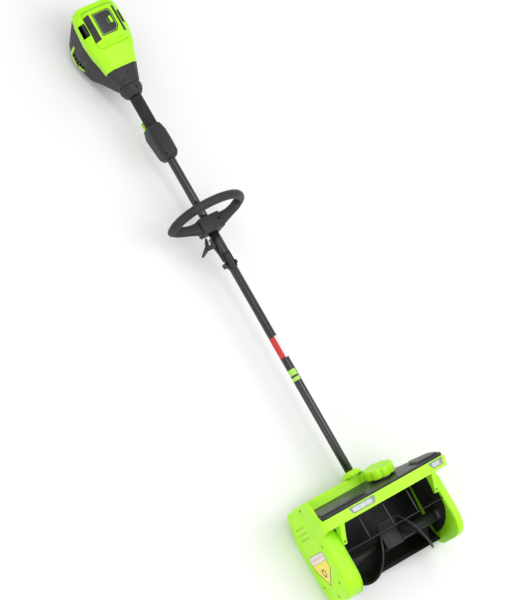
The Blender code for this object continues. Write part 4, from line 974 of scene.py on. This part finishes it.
# ---- loop handle ------------------------------------------------------------------------------------
def loop_handle():
    """Padded loop over the front of the pole, flared webs and a clamp block with its cap."""
    low, high = span("handle_clamp_cap")[0].y, span("handle_clamp_cap")[1].y
    half_width, depth, thick = 0.1135, 0.088, 0.0135
    rail = []
    steps = 56
    for i in range(steps + 1):
        turn = pi * i / steps
        rail.append((-half_width * cos(turn), 1.053 + 0.016 * sin(turn), 0.012 + depth * sin(turn) ** 0.8))
    bar = tube_mesh(rail, thick, 10)
    block = box_mesh((-0.035, low, 0.0003), (0.035, high, 0.031))
    steps = []
    for side in (-1, 1):
        rings = []
        count = 14
        for i in range(count + 1):
            t = i / count
            x = side * (0.028 + (half_width - 0.028) * t)
            middle = low + 0.0245 + (1.0535 - low - 0.0245) * t ** 1.7
            tall = 0.0225 - 0.0095 * sin(pi * min(1.0, t * 1.1)) * 0.6 - 0.0075 * t ** 2
            deep = 0.0108 + 0.0022 * t
            centre_z = 0.0112 + 0.0010 * t
            ring = []
            for k in range(28):
                turn = 2 * pi * k / 28
                a = abs(cos(turn)) ** 0.62 * (1 if cos(turn) >= 0 else -1)
                b = abs(sin(turn)) ** 0.62 * (1 if sin(turn) >= 0 else -1)
                ring.append((x, middle + tall * a, centre_z + deep * b))
            rings.append(ring)
        steps.append(("join", loft_mesh(rings)))
        steps.append(("join", turned_mesh([(0.0, -thick), *[(thick * cos(a), thick * sin(a)) for a in
                                           (radians(-75 + 15 * k) for k in range(11))], (0.0, thick)],
                                          Matrix.Translation((side * half_width, 1.053, 0.012)), 40)))
    bore = cone_mesh((0, 0.9, 0), (0, 1.2, 0), POLE_RADIUS + FIT, sides=96)
    middle = (low + high) / 2
    mesh = solid(solid(block, ("bevel", 0.0045, 4, 40)), *steps, ("join", bar), ("cut", bore),
                 ("cut", cone_mesh((0.0245, middle + 0.002, 0.0240), (0.0245, middle + 0.002, 0.040), 0.0042,
                                   sides=32)),
                 *[("cut", cone_mesh((side * 0.026, middle, -0.03), (side * 0.026, middle, 0.0205), 0.0025,
                                     sides=24)) for side in (-1, 1)])
    piece("loop_handle_padded", mesh, "dark", "loop_handle", "loop_handle", sharp=32)
    screw("loop_clamp_screw", (0.0245, middle + 0.002, 0.0262), (0, 0, 1), "loop_handle", 0.0036)
    refined("handle_clamp_cap", "dark", "loop_handle", 0.0008, 2)
    dress("dark_steel", "clamp_bolt_left", "clamp_bolt_right")


# ---- trigger housing and grip -----------------------------------------------------------------------
def octagon(y, half, low, high, chamfer, lean=0.0):
    """Box section with cut corners, square to the pole; lean shifts its front towards +y."""
    corners = [(-half + chamfer, low), (half - chamfer, low), (half, low + chamfer),
               (half, high - chamfer), (half - chamfer, high), (-half + chamfer, high),
               (-half, high - chamfer), (-half, low + chamfer)]
    return [(x, y + lean * z, z) for x, z in corners]


TRIGGER = TO_SHOVEL @ Vector(JOINTS["trigger_pull"]["pos_m"])


def trigger_housing():
    low, high = span("trigger_housing_left")[0].y, span("trigger_housing_left")[1].y
    stations = [(low, 0.018, -0.022, 0.022, 0.007), (low + 0.012, 0.025, -0.029, 0.030, 0.010),
                (low + 0.050, 0.026, -0.037, 0.031, 0.011), (low + 0.085, 0.026, -0.045, 0.029, 0.011),
                (high, 0.021, -0.036, 0.022, 0.008)]
    body = solid(loft_mesh([octagon(*station) for station in stations]), ("bevel", 0.0032, 4, 12))
    button = span("lock_off_button")
    by, bz = (button[0].y + button[1].y) / 2, (button[0].z + button[1].z) / 2
    for side, way in (("left", -1), ("right", 1)):
        keep = sorted((way * 0.00015, way * 0.08))
        steps = [("keep", box_mesh((keep[0], 1.2, -0.1), (keep[1], 1.4, 0.1))),
                 ("cut", cone_mesh((0, 1.2, 0), (0, 1.4, 0), POLE_RADIUS + FIT, sides=96)),
                 ("cut", box_mesh((-0.0125, 1.293, -0.060), (0.0125, 1.375, -0.0165))),
                 ("cut", cone_mesh((-0.0165, TRIGGER.y, TRIGGER.z), (0.0165, TRIGGER.y, TRIGGER.z), 0.0033,
                                   sides=24))]
        if way > 0:
            steps.append(("cut", cone_mesh((0.010, by, bz), (0.040, by, bz), 0.0063, sides=32)))
        front_hole = cone_mesh((way * 0.0150, low + 0.016, 0.0235), (way * 0.0150, low + 0.012, 0.040),
                               0.0028, sides=24)
        steps.append(("cut", front_hole))
        steps.append(("bevel", 0.0005, 2, 45))
        piece(f"trigger_shell_{side}", solid(body.copy(), *steps), "dark", "upper_pole",
              f"trigger_housing_{side}", sharp=30)
    refined("trigger", "lime", "trigger", 0.0006, 2, 45)
    refined("lock_off_button", "lime", "lock_off_button", 0.0010, 3, 45)
    dress("cover", "trigger_switch")
    low, high = span("rear_grip")
    radius = high.x
    bore = POLE_RADIUS + FIT
    half = (high.y - low.y) / 2
    profile = [(bore, -half), (bore, half), (radius - 0.0028, half), (radius - 0.0010, half - 0.0015),
               (radius, half - 0.0045)]
    rings, pitch = 3, 0.0038
    for end in (1, -1):
        marks = range(rings) if end > 0 else reversed(range(rings))
        for i in marks:
            at = end * (half - 0.0085 - i * pitch)
            profile += [(radius, at + 0.0009), (radius - 0.0007, at + 0.0003), (radius - 0.0007, at - 0.0003),
                        (radius, at - 0.0009)]
    profile += [(radius, -half + 0.0045), (radius - 0.0008, -half + 0.0012), (radius - 0.0020, -half)]
    piece("rear_grip_ringed", turned_mesh(profile, on_pole((low.y + high.y) / 2), 96), "grip", "upper_pole",
          "rear_grip", sharp=50)


# ---- power head -------------------------------------------------------------------------------------
POWER_LOW = span("lower_shell")[0].y
FRONT_START = 1.547
STATIONS = [(POWER_LOW, 0.030, -0.034, 0.030, 0.012, 0.0),
            (1.548, 0.050, -0.074, 0.038, 0.016, 0.0),
            (1.578, 0.057, -0.1075, 0.050, 0.018, 0.0),
            (1.604, 0.066, -0.1075, 0.060, 0.018, 0.0),
            (1.645, 0.073, -0.1075, 0.066, 0.018, 0.10),
            (1.700, 0.071, -0.1070, 0.067, 0.018, 0.25),
            (1.726, 0.066, -0.1020, 0.066, 0.018, 0.30)]
BATTERY_LOW, BATTERY_HIGH = span("battery_pack")


def shell_outer():
    return solid(loft_mesh([octagon(*station) for station in STATIONS]), ("bevel", 0.0045, 4, 14))


def shell_inner():
    rings = []
    for y, half, low, high, chamfer, lean in STATIONS[1:]:
        last = y > 1.72
        at = y - WALL if last else y
        rings.append(octagon(at, half - WALL, low + WALL, high - WALL, chamfer, lean))
    first = STATIONS[0]
    rings.insert(0, octagon(first[0] + WALL, first[1] - WALL, first[2] + WALL, first[3] - WALL, 0.010))
    return loft_mesh(rings)


def half_at(y):
    """Half of the power head's width at a distance y along the pole."""
    for near, far in zip(STATIONS, STATIONS[1:]):
        if near[0] <= y <= far[0]:
            return near[1] + (far[1] - near[1]) * (y - near[0]) / (far[0] - near[0])
    return STATIONS[-1][1]


def lime_region(grow):
    """Side view of the part of the body that belongs to the lime upper shell."""
    side = [(FRONT_START - grow, 0.004 - grow), (1.640, 0.019 - grow), (1.722, 0.026 - grow),
            (1.800, 0.027 - grow), (1.800, 0.150), (FRONT_START - grow, 0.150)]
    return outline_mesh([side], -0.2, 0.2)


def battery_outline(grow):
    """Battery seen from the front, as (x, y), with a round lower end."""
    low, high = BATTERY_LOW, BATTERY_HIGH
    corners = [(low.x - grow, low.y - grow), (high.x + grow, low.y - grow), (high.x + grow, high.y + grow),
               (low.x - grow, high.y + grow)]
    return rounded(corners, [0.018, 0.018, 0.012, 0.012], 8)


def band_mesh(path, width, side, proud, sunk):
    """Flat band along a path of (y, z) points on the power head's side, standing proud of it."""
    rings = []
    for i, point in enumerate(path):
        before = Vector(path[max(i - 1, 0)])
        after = Vector(path[min(i + 1, len(path) - 1)])
        run = (after - before).normalized()
        across = Vector((-run.y, run.x))
        ring = []
        for out, sway in ((-sunk, -1), (proud * 0.4, -1), (proud, -0.8), (proud, 0.8), (proud * 0.4, 1),
                          (-sunk, 1)):
            y, z = Vector(point) + across * (width / 2 * sway)
            ring.append((side * (half_at(y) + out), y, z))
        rings.append(ring)
    return loft_mesh(rings)


def power_head():
    outer = shell_outer()
    bore = cone_mesh((0, 1.48, 0), (0, 1.52, 0), POLE_RADIUS + FIT, sides=96)
    slots = []
    for side in (-1, 1):
        for level in range(5):
            y = 1.6145 + 0.0112 * level
            near, far = sorted((side * 0.050, side * 0.080))
            slots.append(box_mesh((near, y, -0.0835), (far, y + 0.006, -0.0585)))
    screws = ((0.0, 1.5290, 0.0345), (-0.020, 1.5085, 0.0300))
    wells = [cone_mesh((x, y, z - 0.0035), (x, y - 0.003, z + 0.012), 0.0036, sides=24) for x, y, z in screws]
    lower = solid(outer.copy(), ("cut", shell_inner()), ("cut", lime_region(0.0003)), ("cut", bore),
                  ("cut", joined(*slots)), ("cut", joined(*wells)), ("bevel", 0.0006, 2, 50))
    piece("lower_shell_faceted", lower, "dark", "upper_pole", "lower_shell", sharp=30)
    for i, (x, y, z) in enumerate(screws):
        screw(f"power_head_screw_{i + 1}", (x, y, z - 0.0015), (0, -0.25, 1), "upper_pole", 0.0030)

    bay = outline_mesh([battery_outline(0.0007)], -0.01, 0.2, FACING)
    steps = [("keep", lime_region(0.0)), ("cut", shell_inner()), ("cut", bay)]
    for side in (-1, 1):
        near, far = sorted((side * 0.0535, side * 0.090))
        notch = rounded([(near, 1.658), (far, 1.658), (far, 1.700), (near, 1.700)], 0.0035, 4)
        steps.append(("cut", outline_mesh([notch], 0.045, 0.120, FACING)))
        near, far = sorted((side * 0.045, side * 0.062))
        steps.append(("cut", box_mesh((near, 1.6615, 0.0455), (far, 1.6965, 0.0645))))
    steps.append(("bevel", 0.0010, 3, 40))
    piece("upper_shell_faceted", solid(outer.copy(), *steps), "lime", "upper_pole", "upper_shell", sharp=30)

    for side, way in (("left", -1), ("right", 1)):
        path = rounded([(1.677, -0.041), (1.674, -0.087), (1.640, -0.0895), (1.608, -0.075)], 0.008, 6)
        path = path[6:-6]
        rim = band_mesh([(1.677, -0.041), *path, (1.608, -0.075)], 0.0078, way, 0.0010, 0.001)
        piece(f"vent_rim_{side}", rim, "lime", "upper_pole")
    low, high = span("neck_collar")
    half = (high.y - low.y) / 2
    bore_radius = POLE_RADIUS + FIT
    slope = [(0.0210 + 0.0135 * sin(pi / 2 * i / 8) ** 0.9, -half + (2 * half - 0.006) * (i / 8) ** 1.15)
             for i in range(9)]
    profile = [(bore_radius, half), (bore_radius, -half), (0.0195, -half), *slope, (0.0330, half)]
    collar = turned_mesh(profile, on_pole((low.y + high.y) / 2), 96)
    wells = [cone_mesh((0.004, 1.4790, 0.0255), (0.004, 1.4740, 0.040), 0.0032, sides=24),
             cone_mesh((0.0230, 1.4700, 0.0130), (0.0300, 1.4660, 0.0230), 0.0032, sides=24)]
    piece("neck_collar_smooth", solid(collar, ("cut", joined(*wells))), "dark", "upper_pole", "neck_collar",
          sharp=45)
    refined("rest_foot", "pale_grey", "upper_pole", 0.0010, 3)
    dress("cover", "terminal_block")
    dress("grey", "motor_controller")
    for side in ("left", "right"):
        refined(f"release_button_{side}", "cover", f"release_button_{side}", 0.0012, 3)


def battery():
    """Battery pack: lime casing with bevelled sides, dark grips and a plain dark panel in a raised frame."""
    low, high = BATTERY_LOW, BATTERY_HIGH
    levels = [(0.0, 0.0015), (0.0015, 0.0), (0.036, 0.0), (0.040, 0.0008), (0.0545, 0.0110), (0.0562, 0.0132),
              (0.0570, 0.0160)]
    rings = []
    for up, inset in levels:
        points = []
        for x, y in battery_outline(0.0):
            squeeze = 1.0 - inset / high.x
            lift = inset * (1.4 if y < (low.y + high.y) / 2 else 0.55)
            middle = (low.y + high.y) / 2
            reach = (high.y - low.y) / 2
            points.append((x * squeeze, middle + (y - middle) * (1.0 - lift / reach), low.z + up))
        rings.append(points)
    casing = loft_mesh(rings)
    top = high.z
    hollows = [box_mesh((x - 0.0042, 1.6115, top - 0.0120), (x + 0.0042, 1.6200, top + 0.01))
               for x in (-0.022, 0.022)]
    panel = rounded([(-0.0300, 1.6360), (0.0180, 1.6360), (0.0300, 1.6500), (0.0300, 1.7020),
                     (0.0240, 1.7100), (-0.0300, 1.7100)], 0.0030, 4)
    recess = outline_mesh([panel], top - 0.0016, top + 0.01, FACING)
    waist = rounded([(-0.014, 1.600), (0.014, 1.600), (0.012, 1.6215), (-0.012, 1.6215)], 0.003, 4)
    waist = outline_mesh([waist], top - 0.0060, top + 0.01, FACING)
    mesh = solid(casing, ("cut", joined(*hollows)), ("cut", recess), ("cut", waist), ("bevel", 0.0011, 3, 38))
    piece("battery_casing", mesh, "lime", "battery_pack", "battery_pack", sharp=32)
    inner = [(x * 0.975, 1.674 + (y - 1.674) * 0.972) for x, y in panel]
    piece("battery_panel", solid(outline_mesh([inner], top - 0.0015, top - 0.0004, FACING),
                                 ("bevel", 0.0004, 2, 40)), "panel", "battery_pack")
    line = [[(x * 0.90, 1.674 + (y - 1.674) * 0.90) for x, y in panel],
            [(x * 0.86, 1.674 + (y - 1.674) * 0.87) for x, y in panel]]
    piece("battery_panel_line", outline_mesh(line, top - 0.0004, top - 0.0002, FACING), "lime_label",
          "battery_pack")
    gauge = rounded([(0.0130, 1.6640), (0.0215, 1.6640), (0.0215, 1.6860), (0.0130, 1.6860)], 0.0040, 5)
    piece("battery_gauge_button", solid(outline_mesh([gauge], top - 0.0005, top + 0.0003, FACING),
                                        ("bevel", 0.0003, 2, 40)), "lime", "battery_pack")
    dot = [(0.0, 0.0), (0.0011, 0.0), (0.0011, 0.0003), (0.0, 0.0004)]
    dots = [turned_mesh(dot, Matrix.Translation((0.0062, 1.6660 + 0.0050 * i, top - 0.0004)), 16)
            for i in range(4)]
    piece("battery_gauge_dots", joined(*dots), "lime_label", "battery_pack")
    for side, way in (("left", -1), ("right", 1)):
        rings = []
        for y, shrink in ((1.6300, 0.0022), (1.6325, 0.0), (1.7090, 0.0), (1.7115, 0.0022)):
            section = [(0.0512, 0.0320 + shrink), (0.0512, 0.0400), (0.0418, 0.0550), (0.0375, 0.0568),
                       (0.0360 + shrink, 0.0555), (0.0480, 0.0380), (0.0480, 0.0320 + shrink)]
            rings.append([(way * (x - shrink * 0.25), y, low.z + up) for x, up in section])
        grip = loft_mesh(rings)
        ribs = [("join", box_mesh(*corners_sorted((way * 0.0430, y, low.z + 0.0340),
                                                  (way * 0.0516, y + 0.0022, low.z + 0.0385))))
                for y in (1.640 + 0.0075 * k for k in range(9))]
        piece(f"battery_grip_{side}", solid(grip, *ribs, ("bevel", 0.0006, 2, 40)), "dark", "battery_pack",
              sharp=35)


def corners_sorted(a, b):
    """Two opposite corners as the lowest and the highest."""
    return tuple(min(p, q) for p, q in zip(a, b)), tuple(max(p, q) for p, q in zip(a, b))


# ---- studio -----------------------------------------------------------------------------------------
def area_light(name, at, target, size, power):
    data = bpy.data.lights.new(name, "AREA")
    data.shape = "RECTANGLE"
    data.size, data.size_y = size
    data.energy = power
    lamp = bpy.data.objects.new(name, data)
    bpy.context.scene.collection.objects.link(lamp)
    lamp.location = at
    lamp.rotation_mode = "QUATERNION"
    lamp.rotation_quaternion = (Vector(at) - Vector(target)).to_track_quat("Z", "Y")
    return lamp


def studio():
    world = bpy.data.worlds.new("studio")
    world.use_nodes = True
    world.node_tree.nodes["Background"].inputs["Color"].default_value = (1.0, 1.0, 1.0, 1.0)
    world.node_tree.nodes["Background"].inputs["Strength"].default_value = 0.80
    bpy.context.scene.world = world
    bpy.context.scene.view_settings.view_transform = "Standard"

    floor_mesh = from_bmesh(lambda shape: bmesh.ops.create_grid(shape, x_segments=1, y_segments=1, size=9.0))
    floor = bpy.data.objects.new("floor", floor_mesh)
    bpy.context.scene.collection.objects.link(floor)
    floor.location.z = CAD_BOX[0].z - 0.0005
    pale = material("studio_floor", (0.90, 0.90, 0.90), 0.8, shade=0.0)
    floor_mesh.materials.append(pale)

    area_light("key", (1.3, -1.2, 3.2), (0.0, -0.2, 0.0), (2.2, 2.2), 36.0)
    area_light("top_strip", (-0.1, 0.6, 3.0), (0.0, 0.1, 0.1), (0.5, 3.0), 16.0)
    area_light("fill", (-2.6, -1.4, 1.6), (0.0, -0.2, 0.1), (2.0, 2.0), 12.0)


def camera():
    """Camera in front of the shovel, a little to its left, turned so that the pole runs up to the left."""
    yaw, pitch, roll = 0.4153, 0.1180, -0.5201
    target, distance, focal = Vector((0.0376, 0.7633, 0.0)), 6.150, 2165.0
    image_long_side, sensor = 600.0, 36.0
    toward = Vector((-sin(yaw) * cos(pitch), -sin(pitch), cos(yaw) * cos(pitch)))
    level = Vector((0.0, 1.0, 0.0)).cross(toward).normalized()
    raised = toward.cross(level)
    right = level * cos(roll) + raised * sin(roll)
    up = raised * cos(roll) - level * sin(roll)
    place = Matrix((right, up, toward)).transposed().to_4x4()
    place.translation = target + toward * distance
    data = bpy.data.cameras.new("camera")
    data.sensor_width = sensor
    data.lens = focal * sensor / image_long_side
    view = bpy.data.objects.new("camera", data)
    bpy.context.scene.collection.objects.link(view)
    view.matrix_world = SHOVEL @ place
    bpy.context.scene.camera = view


camera()
studio()
drive_housing()
right_side()
deck()
top_cover()
headlights()
knob()
auger()
chamber()
vanes()
pole()
loop_handle()
trigger_housing()
power_head()
battery()
